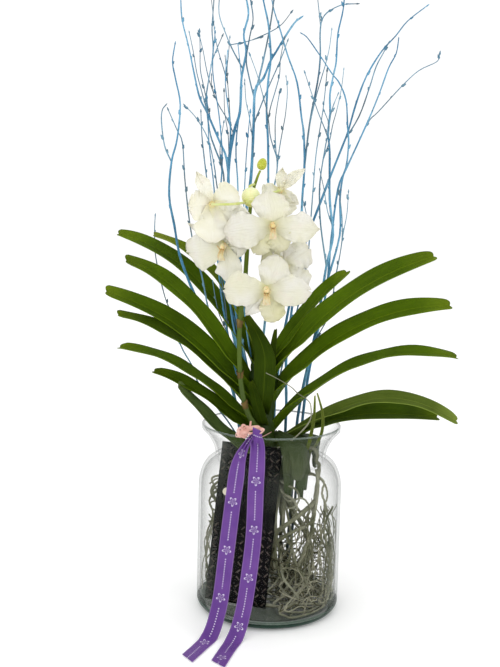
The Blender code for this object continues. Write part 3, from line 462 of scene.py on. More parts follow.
def sheath_surface(turn, half, out, low):
    """The place(t, u) of one sheath: round at its foot, folded along, gathered to the stem at its top."""

    def place(t, u):
        narrowed = math.sqrt(max(1 - ((0.20 - min(t, 0.20)) / 0.21) ** 2, 0.0))
        spread = half * u * narrowed * (1 - 0.20 * math.cos(4 * t + turn))
        angle = math.radians(turn + spread + 2.5 * math.sin(3 * t + turn))
        gathered = 1 - 0.80 * (max(t - 0.74, 0.0) / 0.26) ** 2
        folded = (out - 0.004 * abs(u) + 0.003 * math.sin(3 * t + turn)) * gathered
        height = low + (SHEATH_TOP - 0.004 * u * u + 0.003 * math.sin(turn) - low) * t
        return Vector((0.003 + folded * math.cos(angle), 0.002 + folded * math.sin(angle), height))

    return place


def thicken(piece, thickness):
    solid = piece.modifiers.new("thickness", "SOLIDIFY")
    solid.thickness = thickness
    solid.offset = 0.0


old_sheath = new_finish("old_sheath", 0.6, Specular_IOR_Level=0.15)
sheath_lines = cloud(old_sheath, 4.0, (0.7, 9, 1), 4.0, "UV")
sheath_colour = colours(
    old_sheath,
    sheath_lines,
    (0.30, screen(56, 66, 40)),
    (0.52, screen(74, 84, 56)),
    (0.78, screen(100, 108, 80)),
)
sheath_foot = shift(old_sheath, own_axis(old_sheath, "Object", "Z"), 0.172, 0.186, 0.8, 0.0)
sheath_colour = mingle(old_sheath, sheath_foot, sheath_colour, screen(46, 66, 16))
sheath_top = shift(old_sheath, own_axis(old_sheath, "UV", "X"), 0.45, 0.95, 0.0, 0.85)
feed(old_sheath, "Base Color", mingle(old_sheath, sheath_top, sheath_colour, screen(40, 56, 18)))
relief(old_sheath, sheath_lines, 0.0004)
for count, row in enumerate(OLD_SHEATHS):
    sheath = add_piece(
        f"old_sheath_{count}",
        laid_grid(30, 12, sheath_surface(*row)),
        old_sheath,
        "leaf_green",
        "stem",
    )
    thicken(sheath, SHEATH_THICKNESS)


# Leaves: two ranks of thick keeled straps, folded where they clasp the stem, arching out and twisting to
# the light. Each ends in an uneven notch. Dark green, glossy, finely grooved along, paler at the keel.
# The lowest one at the left, left_8, is short and dull, and its tip lies under left_7.
LEAF_THICKNESS = 0.0010
LEAF_FOOT_HALF_WIDTH = 0.0130
KEEL_ROUND = 0.10

# Each row is the side, the foot's height, the tip, the slopes at foot and tip in degrees, how far the
# foot's slope holds, the width, and how far the blade rolls
LEAVES = {
    "left_1": (-1, 286, (-222, 88, 497), 75, 10, 0.29, 30, 30),
    "left_2": (-1, 296, (-169, 62, 497), 78, 15, 0.40, 24, 20),
    "left_3": (-1, 260, (-196, -22, 465), 58, 18, 0.31, 32, 42),
    "left_4": (-1, 232, (-228, 18, 421), 62, 16, 0.40, 34, 38),
    "left_5": (-1, 222, (-210, 6, 391), 58, 11, 0.36, 30, 24),
    "left_6": (-1, 213, (-206, -6, 348), 47, 3, 0.28, 28, 20),
    "left_7": (-1, 209, (-158, -26, 321), 37, 16, 0.36, 25, 36),
    "left_8": (-1, 184, (-125, -30, 305), 27, 52, 0.36, 27, 36),
    "right_1": (1, 296, (99, 26, 455), 68, 40, 0.38, 28, 24),
    "right_2": (1, 276, (205, -28, 479), 73, 18, 0.31, 36, 44),
    "right_3": (1, 246, (224, -50, 417), 73, 1, 0.32, 34, 44),
    "right_4": (1, 226, (235, -50, 350), 57, -11, 0.38, 30, 22),
    "right_5": (1, 208, (237, -58, 269), 41, -30, 0.54, 23, 40),
    "right_6": (1, 196, (222, -14, 265), 54, -4, 0.41, 34, 32),
}


def stem_at(height):
    """The stem's middle at a height in millimetres."""
    for low, high in zip(STEM_ROWS[:-1], STEM_ROWS[1:]):
        if height <= high[2] or high is STEM_ROWS[-1]:
            share = (height - low[2]) / (high[2] - low[2])
            return Vector(low[:3]).lerp(Vector(high[:3]), share) * MM


def leaf_finish(name, dark, light, olive):
    """Grooved green: darker near the stem, olive at the tip, with a pale keel line and pale margins."""
    finish = new_finish(name, 0.50, Specular_IOR_Level=0.06)
    length = own_axis(finish, "UV", "X")
    across = own_axis(finish, "UV", "Y")
    base = colours(finish, length, (0.02, dark), (0.30, light), (0.86, light), (1.0, olive))
    patches = cloud(finish, 22.0)
    base = mingle(finish, shift(finish, patches, 0.35, 0.7, 0.0, 0.55), base, dark)
    streaks = cloud(finish, 4.0, (1.5, 26, 1), 4.0, "UV")
    base = mingle(finish, shift(finish, streaks, 0.45, 0.75, 0.0, 0.40), base, olive)
    off_keel = reckon(finish, "ABSOLUTE", reckon(finish, "SUBTRACT", across, 0.5))
    keel = shift(finish, off_keel, 0.008, 0.035, 0.45, 0.0)
    margin = shift(finish, off_keel, 0.475, 0.497, 0.0, 0.5)
    base = mingle(finish, reckon(finish, "MAXIMUM", keel, margin), base, olive)
    feed(finish, "Base Color", base)
    grooves = reckon(finish, "SINE", times(finish, across, 170.0))
    fine = plus(finish, times(finish, grooves, 0.35), streaks)
    relief(finish, fine, 0.00035)
    return finish


def bezier(start, start_handle, end_handle, end, t):
    return (
        (1 - t) ** 3 * start
        + 3 * t * (1 - t) ** 2 * start_handle
        + 3 * t**2 * (1 - t) * end_handle
        + t**3 * end
    )


def from_keel(u):
    """How far a folded blade has risen from its rounded keel, for u from -1 to 1 across it."""
    return math.sqrt(u * u + KEEL_ROUND**2) - KEEL_ROUND


def leaf_surface(row, draw):
    """The place(t, u) of one leaf's middle surface."""
    side, foot, tip, rise, fall, hold, width, roll = row
    start = stem_at(foot)
    end = Vector(tip) * MM
    depth = (end.y - start.y) / max(abs(end.x - start.x), 0.04)
    chord = (end - start).length

    def slope(angle):
        flat = math.cos(math.radians(angle))
        return Vector((side * flat, depth * flat, math.sin(math.radians(angle))))

    start_handle = start + slope(rise) * chord * hold
    end_handle = end - slope(fall) * chord * 0.36
    bite = 0.003 if foot % 2 else -0.003
    wave = draw.uniform(2.0, 4.0)
    wave_start = draw.uniform(0.0, 6.0)

    def place(t, u):
        centre = bezier(start, start_handle, end_handle, end, t)
        ahead = (
            bezier(start, start_handle, end_handle, end, t + 0.01)
            - bezier(start, start_handle, end_handle, end, t - 0.01)
        ).normalized()
        across = Vector((0, 0, 1)).cross(ahead).normalized()
        inward = ahead.cross(across)
        lean = math.radians(roll) * min(t / 0.35, 1.0)
        turned_across = across * math.cos(lean) + inward * math.sin(lean) * side
        turned_inward = inward * math.cos(lean) - across * math.sin(lean) * side
        spread = math.sin(math.pi / 2 * min(t / 0.30, 1.0))
        narrow = 1.0 - 0.42 * max(t - 0.72, 0.0) ** 1.5 / 0.28**1.5
        full = width * MM / 2 * narrow
        half = LEAF_FOOT_HALF_WIDTH + (full - LEAF_FOOT_HALF_WIDTH) * spread
        fold = math.radians(68 - 36 * min(t / 0.35, 1.0) - 10 * t)
        near_tip = max(t - 0.94, 0.0) / 0.06
        notch = (bite * u - 0.0030 * (1 - abs(u)) ** 2 - 0.006 * u**4) * near_tip**1.5
        ripple = 0.0010 * math.sin(wave * 6 * t + wave_start + 2.2 * u) * u * u * min(t / 0.3, 1.0)
        return (
            centre
            + turned_across * u * half * math.cos(fold)
            + turned_inward * (from_keel(u) * half * math.sin(fold) + ripple)
            + ahead * notch
        )

    return place


leaf_green = leaf_finish("leaf_green", screen(40, 62, 2), screen(76, 104, 2), screen(112, 134, 22))
leaf_olive = leaf_finish("leaf_olive", screen(62, 80, 6), screen(98, 118, 12), screen(136, 150, 44))
leaf_deep = leaf_finish("leaf_deep", screen(30, 48, 0), screen(58, 82, 0), screen(94, 114, 14))
leaf_pale = leaf_finish("leaf_pale", screen(54, 72, 12), screen(92, 110, 40), screen(136, 154, 66))
leaf_dull = leaf_finish("leaf_dull", screen(50, 68, 26), screen(74, 94, 44), screen(104, 122, 66))
LEAF_SHADES = {
    "left_2": leaf_olive,
    "left_7": leaf_deep,
    "left_8": leaf_dull,
    "right_5": leaf_pale,
    "right_6": leaf_deep,
}
draw = random.Random(5)
for name, row in LEAVES.items():
    finish = LEAF_SHADES.get(name, leaf_green)
    leaf = add_piece(
        f"strap_{name}",
        laid_grid(64, 14, leaf_surface(row, draw)),
        finish,
        "leaf_green",
        "leaf_left_7" if name == "left_8" else f"leaf_{name}",
    )
    thicken(leaf, LEAF_THICKNESS)


# Young leaves: three that stand upright at the middle and show their face to the front, and two narrow
# yellowish ones over the rim at the right. Each row is the middle line, the width and the keel's depth.
UPRIGHT_BLADES = {
    "leaf_centre_1": (
        [
            (-12, 0, 260),
            (-13, -14, 274),
            (-12, -21, 292),
            (-11, -21.5, 320),
            (-12, -21, 345),
            (-21, -20.5, 370),
            (-37, -20, 396),
        ],
        28,
        2.0,
    ),
    "leaf_centre_2": (
        [(-6, 2, 290), (-5, -11, 297), (-4, -17.8, 306), (-2, -17.8, 340), (2, -17.8, 379)],
        12,
        1.0,
    ),
    "leaf_centre_3": ([(-9, 0, 246), (-13, -15, 255), (-20, -25, 278), (-29, -26, 311)], 16, 1.0),
    "narrow_blade_1": (
        [(17, 10, 176), (32, -8, 196), (46, -24, 218), (51, -33, 240), (54, -42, 268), (54, -46, 297)],
        4.4,
        0.8,
    ),
    "narrow_blade_2": (
        [(17, 10, 182), (38, -6, 202), (56, -22, 222), (65, -34, 245), (65, -41, 272), (57, -44, 300)],
        4.0,
        0.8,
    ),
}
BLADE_FOOT_SHARE = 0.55


def in_metres(points):
    return [Vector(point) * MM for point in points]


def along(points, t):
    """The point at the share t of a line of points, each stretch counted alike, rounded at the corners."""
    last = len(points) - 1
    place = min(max(t, 0.0), 1.0) * last
    at = min(int(place), last - 1)
    part = place - at
    before = points[max(at - 1, 0)]
    start, end = points[at], points[at + 1]
    after = points[min(at + 2, last)]
    return 0.5 * (
        2 * start
        + (end - before) * part
        + (2 * before - 5 * start + 4 * end - after) * part**2
        + (3 * start - before - 3 * end + after) * part**3
    )


def blade_surface(route, width, keel):
    points = in_metres(route)

    def place(t, u):
        spread = BLADE_FOOT_SHARE + (1 - BLADE_FOOT_SHARE) * math.sin(math.pi / 2 * min(t / 0.4, 1.0))
        half = width * MM / 2 * spread * (1 - 3.6 * max(t - 0.55, 0.0) ** 2)
        tip = half * max(t - 0.94, 0.0) / 0.06 * (0.45 * u - 0.5 * (1 - abs(u)))
        return along(points, t) + Vector((half * u, -keel * MM * from_keel(u), tip))

    return place


young_green = leaf_finish("young_green", screen(26, 42, 0), screen(44, 64, 0), screen(82, 100, 16))
narrow_yellow = leaf_finish("narrow_yellow", screen(80, 94, 36), screen(108, 124, 42), screen(140, 150, 70))
for name, (route, width, keel) in UPRIGHT_BLADES.items():
    yellowish = name.startswith("narrow")
    blade = add_piece(
        f"young_{name}",
        laid_grid(48, 10, blade_surface(route, width, keel)),
        narrow_yellow if yellowish else young_green,
        "bud_green" if yellowish else "leaf_green",
        name,
    )
    thicken(blade, LEAF_THICKNESS)


# Card: a stiff black board, printed with faint taupe dashes in a diamond lattice near its top and foot. It
# stands on the vase's floor behind the glass and leans back. A cream paper dot is stuck at its left edge.
ON_VASE_FLOOR = VASE_FLOOR + 0.0003
CARD_WIDTH = 0.085
CARD_HEIGHT = 0.212
CARD_THICKNESS = 0.0008
CARD_FOOT = (-0.0434, -0.0352)
CARD_TURN = math.radians(-16.3)
CARD_LEAN = math.radians(12.2)
CARD_TILT = math.radians(1.7)
LATTICE = 0.0190
DASH = 0.0050
DASH_HALF_WIDTH = (0.0012, 0.0016)
BARE_MIDDLE = 0.64
DOT_PLACE = Vector((-0.0290, -0.0006, 0.1450))
DOT_RADIUS = 0.0052
DOT_THICKNESS = 0.0003
card_plane = Matrix.Rotation(CARD_TURN, 3, "Z") @ Matrix.Rotation(-CARD_LEAN, 3, "X")
card_turn = card_plane @ Matrix.Rotation(CARD_TILT, 3, "Y")
card_lift = CARD_THICKNESS / 2 * math.sin(CARD_LEAN) + CARD_WIDTH / 2 * math.sin(CARD_TILT)
card_foot = Vector((*CARD_FOOT, ON_VASE_FLOOR + card_lift))


def card_surface(t, u):
    return card_foot + card_turn @ Vector((u * CARD_WIDTH / 2, 0, t * CARD_HEIGHT))


board = new_finish("black_board", 0.50, Specular_IOR_Level=0.10)
up_card = times(board, own_axis(board, "UV", "X"), CARD_HEIGHT)
over_card = times(board, own_axis(board, "UV", "Y"), CARD_WIDTH)


def dashes(rise, run):
    """Short dashes along one diagonal of the lattice."""
    straight = reckon(board, "PINGPONG", plus(board, rise, run), LATTICE / 2)
    thin = shift(board, straight, *DASH_HALF_WIDTH, 1.0, 0.0)
    cut = reckon(board, "PINGPONG", reckon(board, "SUBTRACT", rise, run), LATTICE / 2)
    short = shift(board, cut, LATTICE / 2 - DASH, LATTICE / 2 - DASH + 0.0005, 0.0, 1.0)
    return times(board, thin, short)


lattice = reckon(
    board,
    "MAXIMUM",
    dashes(up_card, over_card),
    dashes(up_card, times(board, over_card, -1.0)),
)
off_bare = reckon(board, "ABSOLUTE", reckon(board, "SUBTRACT", own_axis(board, "UV", "X"), BARE_MIDDLE))
lattice = times(board, lattice, shift(board, off_bare, 0.10, 0.20, 0.10, 1.0))
rubbed = shift(board, cloud(board, 70.0, detail=1.0), 0.40, 0.60, 0.5, 1.0)
lattice = times(board, lattice, rubbed)
wear = cloud(board, 60.0, detail=4.0)
ink = colours(board, wear, (0.35, screen(3, 2, 4)), (0.65, screen(7, 6, 8)))
feed(board, "Base Color", mingle(board, lattice, ink, screen(86, 76, 70)))
relief(board, cloud(board, 900.0, detail=2.0), 0.00006)
card = add_piece("black_card", laid_grid(24, 10, card_surface), board, "card_print", "gift_card")
thicken(card, CARD_THICKNESS)

paper = new_finish("cream_paper", 0.7)
tint(paper, cloud(paper, 200.0), (0.4, screen(224, 216, 190)), (0.6, screen(236, 230, 208)))
bm = bmesh.new()
disc_spot = card_foot + card_turn @ DOT_PLACE
disc_turn = (card_turn @ Matrix.Rotation(math.radians(90), 3, "X")).to_4x4()
bmesh.ops.create_cone(
    bm,
    cap_ends=True,
    segments=40,
    radius1=DOT_RADIUS,
    radius2=DOT_RADIUS,
    depth=DOT_THICKNESS,
    matrix=Matrix.Translation(disc_spot) @ disc_turn,
)
add_piece("paper_dot", bm, paper, "card_print", "gift_card", sharp=30)


# Roots: bare cords with a dull grey-green skin, grown from the plant's foot, pressed along the glass and
# wound round the vase's floor. Thick ones are nearly straight, the fine ones wavy. One root hangs outside.
CROWN = Vector((16, 12, 160)) * MM
CROWN_DROP = Vector((0, 0, 0.0035))
CROWN_SIZE = (0.010, 0.010, 0.009)
SHOULDER_MARGIN = 0.001
INNER_CORNER = 0.008

# How clear the roots stay of the glass, of the card, which reaches this far to the right, and of the birch
# stems at the back
OFF_GLASS = 0.0012
OFF_CARD = 0.0018
OFF_CARD_WAY = Vector((0.28, 0.96, 0))
CARD_REACHES = 0.014
STEMS_MIDDLE = 0.004
STEMS_HALF_SPREAD = 0.054
STEMS_FRONT = 0.024


def vase_room(height):
    """The vase's inner radius at a height."""
    if height > SHOULDER_TOP:
        t = min((height - SHOULDER_TOP) / (FLARE_TOP - SHOULDER_TOP), 1.0)
        return VASE_NECK + (VASE_RIM - VASE_NECK) * t**2 - VASE_WALL
    if height > SHOULDER_BOTTOM:
        rise = (height - SHOULDER_BOTTOM) / (SHOULDER_TOP - SHOULDER_BOTTOM)
        spread = (VASE_BODY - VASE_NECK) * math.sqrt(max(1 - rise**2, 0.0))
        return VASE_NECK + spread - VASE_WALL - SHOULDER_MARGIN
    return VASE_BODY - VASE_WALL - max(VASE_FLOOR + INNER_CORNER - height, 0.0)


def behind_card(point):
    """How far the point lies behind the card's plane."""
    return (point - Vector((*CARD_FOOT, ON_VASE_FLOOR))).dot(card_plane @ Vector((0, 1, 0)))


def keep_inside(point, radius):
    """Bends a root's point clear of the glass, of the card in front and of the birch stems at the back."""
    room = vase_room(point.z) - radius - OFF_GLASS
    flat = Vector((point.x, point.y, 0))
    if flat.length > room:
        flat = flat * (room / flat.length)
    bent = Vector((flat.x, flat.y, max(point.z, ON_VASE_FLOOR + radius)))
    card_gap = radius + OFF_CARD
    on_card = behind_card(bent)
    if bent.x < CARD_REACHES and on_card < card_gap:
        bent += OFF_CARD_WAY * (card_gap - on_card)
    if abs(bent.x - STEMS_MIDDLE) < STEMS_HALF_SPREAD:
        bent.y = min(bent.y, STEMS_FRONT - radius)
    return bent


def tubes(lines, sides):
    """Round tapered cords, one for each (points, radii) line: bevelled curves made into closed meshes."""
    curve = bpy.data.curves.new("cords", "CURVE")
    curve.dimensions = "3D"
    curve.bevel_depth = 1.0
    curve.bevel_resolution = sides // 2 - 2
    curve.use_fill_caps = True
    for points, radii in lines:
        spline = curve.splines.new("POLY")
        spline.points.add(len(points) - 1)
        for knot, point, radius in zip(spline.points, points, radii):
            knot.co = (*point, 1.0)
            knot.radius = radius
    guide = bpy.data.objects.new("cords", curve)
    scene.collection.objects.link(guide)
    bm = bmesh.new()
    bm.from_mesh(guide.evaluated_get(bpy.context.evaluated_depsgraph_get()).to_mesh())
    bpy.data.objects.remove(guide)
    bmesh.ops.remove_doubles(bm, verts=bm.verts, dist=1e-6)
    bmesh.ops.recalc_face_normals(bm, faces=bm.faces)
    return bm


def tapered(count, thick, thin):
    return [thick + (thin - thick) * step / (count - 1) for step in range(count)]


def rounded_route(points, steps):
    return [along(points, step / steps) for step in range(steps + 1)]


def add_ball(bm, middle, turned, size, around=10, rings=8):
    """Adds a ball drawn out to the size along its own axes. Returns its corners."""
    put = Matrix.Translation(middle) @ turned.to_4x4() @ Matrix.Diagonal((*size, 1.0))
    return bmesh.ops.create_uvsphere(bm, u_segments=around, v_segments=rings, radius=1.0, matrix=put)["verts"]


def root_finish(name, dark, light, pale):
    finish = new_finish(name, 0.8, Specular_IOR_Level=0.2)
    skin = cloud(finish, 55.0, (1, 1, 0.5), 5.0)
    patch = cloud(finish, 14.0, detail=2.0)
    base = colours(finish, skin, (0.32, dark), (0.52, light), (0.70, pale))
    feed(finish, "Base Color", mingle(finish, shift(finish, patch, 0.45, 0.65, 0.0, 0.7), base, pale))
    relief(finish, cloud(finish, 260.0, (1, 1, 0.6), 4.0), 0.0005)
    return finish


thick_skin = root_finish("root_skin", screen(74, 78, 54), screen(108, 110, 86), screen(162, 162, 142))
fine_skin = root_finish("fine_root_skin", screen(72, 74, 52), screen(114, 114, 90), screen(170, 168, 146))
# Painted shade: a much darker copy of the root skin, for fine roots that stand in for the shadow deep in the
# tangle
shaded_skin = root_finish("shaded_root_skin", screen(38, 38, 24), screen(60, 60, 40), screen(98, 96, 74))

# Thick roots that the photograph shows: radius at the foot, then the route
SHOWN_ROOTS = [
    (3.0, [(14, 8, 196), (36, -14, 216), (56, -26, 222), (63, -30, 206), (63, -28, 186), (61, -26, 165),
           (59, -24, 140), (57, -24, 115), (53, -24, 87), (42, -26, 56), (34, -30, 20)]),
    (1.6, [(16, 10, 166), (50, -20, 186), (70, -32, 180), (68, -36, 165), (74, -38, 147), (72, -38, 125),
           (80, -32, 104), (78, -30, 82), (76, -24, 50), (70, -18, 16)]),
    (1.4, [(16, 8, 168), (50, -14, 186), (70, -28, 178), (76, -28, 160), (72, -30, 142), (80, -26, 120),
           (76, -26, 96), (84, -14, 60), (80, 0, 20)]),
    (3.4, [(62, -28, 150), (46, -34, 140), (34, -38, 131), (15, -40, 116), (6, -38, 104), (6, -34, 80),
           (10, -34, 56)]),
    (2.4, [(4, -44, 92), (22, -46, 110), (44, -44, 120), (60, -34, 128)]),
    (1.6, [(5, -48, 112), (3, -52, 86), (9, -54, 59), (20, -54, 37), (38, -52, 26), (62, -44, 22)]),
    (2.8, [(60, -32, 116), (48, -38, 90), (38, -42, 62), (28, -44, 42), (18, -44, 26), (8, -42, 14)]),
    (1.5, [(84, -26, 144), (76, -32, 129), (72, -36, 113), (77, -34, 96), (84, -26, 86), (82, -24, 60),
           (74, -24, 34), (60, -22, 16)]),
    (1.7, [(14, 2, 170), (22, -24, 172), (34, -34, 168), (38, -36, 156), (32, -38, 146), (22, -38, 144)]),
    (1.9, [(14, 2, 164), (18, -24, 160), (30, -36, 156), (36, -38, 144), (30, -38, 130)]),
    (1.5, [(14, 2, 160), (24, -30, 152), (42, -38, 158), (52, -36, 146), (50, -36, 128)]),
    (1.8, [(8, 10, 166), (-40, 10, 178), (-74, 0, 172), (-86, -10, 166), (-80, -18, 154), (-70, -20, 150)]),
    (1.6, [(8, 10, 166), (-40, 8, 170), (-72, -4, 164), (-84, -14, 156), (-82, -18, 144), (-74, -22, 138)]),
    (1.9, [(8, 10, 164), (-50, 12, 172), (-78, 0, 160), (-86, -12, 148), (-78, -18, 136), (-72, -14, 118),
           (-82, -10, 96), (-86, -10, 70), (-80, -16, 40), (-66, -12, 14)]),
    (1.5, [(8, 10, 162), (-60, 14, 156), (-84, 0, 140), (-80, -10, 120), (-86, -8, 92), (-78, -12, 64),
           (-84, -8, 36), (-72, 2, 12)]),
    (1.6, [(-84, -8, 112), (-80, -20, 102), (-74, -22, 88), (-78, -18, 74), (-84, -10, 62)]),
    (1.2, [(-86, -14, 150), (-80, -20, 158), (-70, -24, 156), (-64, -26, 146)]),
    (1.2, [(-87, -12, 142), (-80, -20, 150), (-70, -24, 146), (-65, -26, 134)]),
    (1.1, [(-88, -8, 160), (-80, -16, 168), (-70, -20, 166), (-62, -24, 156)]),
    (1.1, [(-87, -12, 134), (-82, -20, 138), (-74, -24, 130), (-72, -24, 118)]),
    (1.2, [(-84, -16, 128), (-78, -22, 124), (-73, -24, 112), (-76, -20, 100), (-82, -14, 92)]),
    (1.0, [(-86, -10, 120), (-82, -18, 112), (-84, -12, 98), (-88, -6, 84), (-84, -10, 62)]),
    (2.2, [(60, -34, 196), (63, -32, 170), (60, -33, 140), (56, -34, 108), (50, -36, 80), (46, -38, 54)]),
    (1.7, [(-70, -6, 14), (-20, -12, 13), (24, -34, 13), (56, -20, 14), (82, 12, 18), (86, 30, 50)]),
    (1.6, [(-8, -38, 14), (24, -76, 12), (50, -74, 13), (74, -50, 16), (84, -16, 40)]),
    (1.5, [(14, -60, 13), (44, -62, 12), (70, -40, 13), (78, 10, 12), (56, 56, 14)]),
    (1.8, [(-4, -46, 12), (16, -62, 14), (34, -58, 22), (56, -48, 18), (78, -30, 14), (86, 0, 22)]),
]
WOUND_ROOTS = 16
HANGING_FINE_ROOTS = 60
LYING_FINE_ROOTS = 70
SHADED_FINE_ROOTS = 70
FINE_ROOT_STEPS = 44
ROOT_UNEVEN = 0.0004
HANGING_ROOT_RADII = (0.0011, 0.0005)


def wound_root(turn, reach, drop, curl, radius, draw):
    """One root: out from the crown, down near the glass, then along the floor."""
    points = [CROWN]
    steps = 7
    for step in range(1, steps + 1):
        t = step / steps
        out = reach * math.sin(math.pi / 2 * min(t * 1.15, 1.0))
        height = 0.160 - drop * t**0.9
        angle = turn + curl * t**2 + draw.uniform(-0.10, 0.10)
        spot = Vector((CROWN.x * (1 - t) + out * math.cos(angle), out * math.sin(angle), height))
        points.append(keep_inside(spot, radius * (1 - 0.5 * t)))
    return points


def settled(points, steps, radius, wobble, draw):
    """A rounded route with small random bends, kept inside the glass."""
    route = []
    for point in rounded_route(points, steps):
        jitter = Vector([draw.uniform(-wobble, wobble) for _ in range(3)])
        route.append(keep_inside(point + jitter, radius))
    return route


def waved(spot, heading, long, swing, radius, draw):
    """A fine root from the spot along the heading, in two slow waves across it, kept inside the glass."""
    across = heading.orthogonal().normalized()
    beside = heading.cross(across)
    waves = [(draw.uniform(4, 9), draw.uniform(0, 6), side) for side in (across, beside)]
    small = [(draw.uniform(11, 19), draw.uniform(0, 6), side) for side in (across, beside)]
    points = []
    for step in range(FINE_ROOT_STEPS + 1):
        t = step / FINE_ROOT_STEPS
        point = spot + heading * long * t
        for pace, start, side in waves:
            point += side * swing * (math.sin(pace * t + start) - math.sin(start))
        for pace, start, side in small:
            point += side * swing * 0.14 * math.sin(pace * t + start)
        points.append(keep_inside(point, radius))
    return points


def fine_root(radius, turn, out, height, heading, long, swing, draw):
    """One waved root and its radii, from a place at that turn, distance out and height in the vase."""
    spot = Vector((out * math.cos(turn), out * math.sin(turn), height))
    line = waved(spot, Vector(heading).normalized(), long, swing, radius, draw)
    return line, tapered(len(line), radius, radius * 0.6)


draw = random.Random(11)
thick_roots = []
for count in range(WOUND_ROOTS):
    turn = -1.35 + 2 * math.pi * count / WOUND_ROOTS
    radius = draw.uniform(0.0018, 0.0030)
    reach = draw.uniform(0.045, 0.088)
    drop = draw.uniform(0.110, 0.150)
    curl = draw.choice((-1, 1)) * draw.uniform(0.4, 1.6)
    line = rounded_route(wound_root(turn, reach, drop, curl, radius, draw), 42)
    thick_roots.append((line, tapered(len(line), radius, radius * 0.5)))
for radius, route in SHOWN_ROOTS:
    steps = 8 * (len(route) - 1)
    line = settled(in_metres(route), steps, radius * MM, ROOT_UNEVEN, draw)
    thick_roots.append((line, tapered(len(line), radius * MM, radius * MM * 0.65)))
bm = tubes(thick_roots, 8)
add_ball(bm, CROWN - CROWN_DROP, Matrix.Identity(3), CROWN_SIZE, 16, 10)
add_piece("thick_roots", bm, thick_skin, "root_grey", "roots")

pick = draw.uniform
fine_roots = []
for count in range(HANGING_FINE_ROOTS):
    fine_roots.append(fine_root(
        pick(0.0005, 0.0010),
        pick(-1.05, 0.45) if count % 15 else pick(2.7, 3.5),
        pick(0.055, 0.092),
        pick(0.080, 0.150),
        (pick(-0.45, 0.30), pick(-0.2, 0.2), -1.0),
        pick(0.045, 0.110),
        0.0045,
        draw,
    ))
for count in range(LYING_FINE_ROOTS):
    fine_roots.append(fine_root(
        pick(0.0006, 0.0011),
        pick(-1.6, 1.7) if count % 3 else pick(-1.2, 0.3),
        pick(0.030, 0.088),
        0.012 + 0.060 * draw.random() ** 1.5,
        (pick(-1, 1), pick(-0.5, 0.5), pick(-0.25, 0.45)),
        pick(0.040, 0.090),
        0.0070,
        draw,
    ))
add_piece("fine_roots", tubes(fine_roots, 6), fine_skin, "root_grey", "roots")

# Fine roots in the painted shade finish, which darken the gaps between the others as their shadow would
shaded_fine_roots = []
for _ in range(SHADED_FINE_ROOTS):
    shaded_fine_roots.append(fine_root(
        pick(0.0008, 0.0014),
        pick(-1.5, 1.5),
        pick(0.010, 0.076),
        0.012 + 0.070 * draw.random() ** 1.6,
        (pick(-1, 1), pick(-0.5, 0.5), pick(-0.3, 0.5)),
        pick(0.040, 0.080),
        0.0080,
        draw,
    ))
add_piece("shaded_fine_roots", tubes(shaded_fine_roots, 6), shaded_skin, "root_grey", "roots")

# The one that arches over the two narrow blades, outside the vase
HANGING_ROOT = [
    (4, 8, 212),
    (12, -8, 219),
    (30, -34, 238),
    (48, -44, 262),
    (49, -49, 283),
    (44, -52, 292),
    (31, -53, 301),
    (22, -53, 309),
    (4, -50, 319),
    (-10, -46, 325),
]
line = rounded_route(in_metres(HANGING_ROOT), 60)
add_piece(
    "hanging_root",
    tubes([(line, tapered(len(line), *HANGING_ROOT_RADII))], 10),
    thick_skin,
    "root_grey",
    "aerial_root",
)


# Flower spike: one green stalk that grows from a leaf's axil and carries the blooms and the buds. Brown
# papery bracts sheathe its lower joints.
SPIKE_LINE = in_metres([
    (-15, -7.6, 243),
    (-26, -24, 257),
    (-36, -31, 280),
    (-43, -32, 320),
    (-45, -31, 386),
    (-40, -30, 430),
    (-38, -30, 470),
    (-36, -30, 515),
    (-33, -30, 550),
    (-27, -30, 572),
    (-23, -30, 582),
])
SPIKE_RADII = [3.6, 3.6, 3.5, 3.4, 3.2, 3.0, 2.9, 2.6, 2.2, 1.7, 1.3]
SPIKE_STEPS = 90

# Each bract is given as its point on the spike's line and its radius
BRACTS = [(3, 4.5), (4, 4.3), (2, 4.5)]
BRACT_THICKNESS = 0.0005
BRACT_WRAP = 0.96

spike_finish = new_finish("spike_green", 0.45, Specular_IOR_Level=0.3)
spike_height = own_axis(spike_finish, "Object", "Z")
spike_colour = colours(
    spike_finish,
    shift(spike_finish, spike_height, 0.24, 0.60, 0.0, 1.0),
    (0.0, screen(60, 80, 12)),
    (0.55, screen(82, 104, 14)),
    (0.88, screen(120, 140, 24)),
    (1.0, screen(160, 170, 50)),
)
spike_grain = cloud(spike_finish, 90.0, (1, 1, 0.15), 4.0)
spike_streaks = shift(spike_finish, spike_grain, 0.4, 0.7, 0.0, 0.5)
spike_colour = mingle(spike_finish, spike_streaks, spike_colour, screen(52, 68, 26))
feed(spike_finish, "Base Color", spike_colour)
relief(spike_finish, spike_grain, 0.0003)
route = rounded_route(SPIKE_LINE, SPIKE_STEPS)
radii = rounded_route([Vector((radius, 0, 0)) for radius in SPIKE_RADII], SPIKE_STEPS)
radii = [radius.x * MM for radius in radii]
add_piece("spike_stalk", tubes([(route, radii)], 16), spike_finish, "spike_green", "flower_spike")

bract_finish = new_finish("brown_bract", 0.75, Specular_IOR_Level=0.2)
bract_grain = cloud(bract_finish, 120.0, (1, 1, 0.25), 4.0)
tint(
    bract_finish,
    bract_grain,
    (0.3, screen(74, 58, 28)),
    (0.55, screen(108, 88, 46)),
    (0.8, screen(142, 122, 72)),
)
relief(bract_finish, bract_grain, 0.0004)


def bract_surface(middle, up, radius, opening):
    """A papery sheath round the stalk: closed at its foot, drawn out to a point on one side."""
    side = up.orthogonal().normalized()
    front = up.cross(side)

    def place(t, u):
        angle = math.pi * BRACT_WRAP * u + opening
        out = radius * (0.78 + 0.30 * t**2)
        height = -0.005 + 0.008 * t + 0.004 * t * (1 - abs(u)) ** 1.5
        return middle + (side * math.cos(angle) + front * math.sin(angle)) * out + up * height

    return place


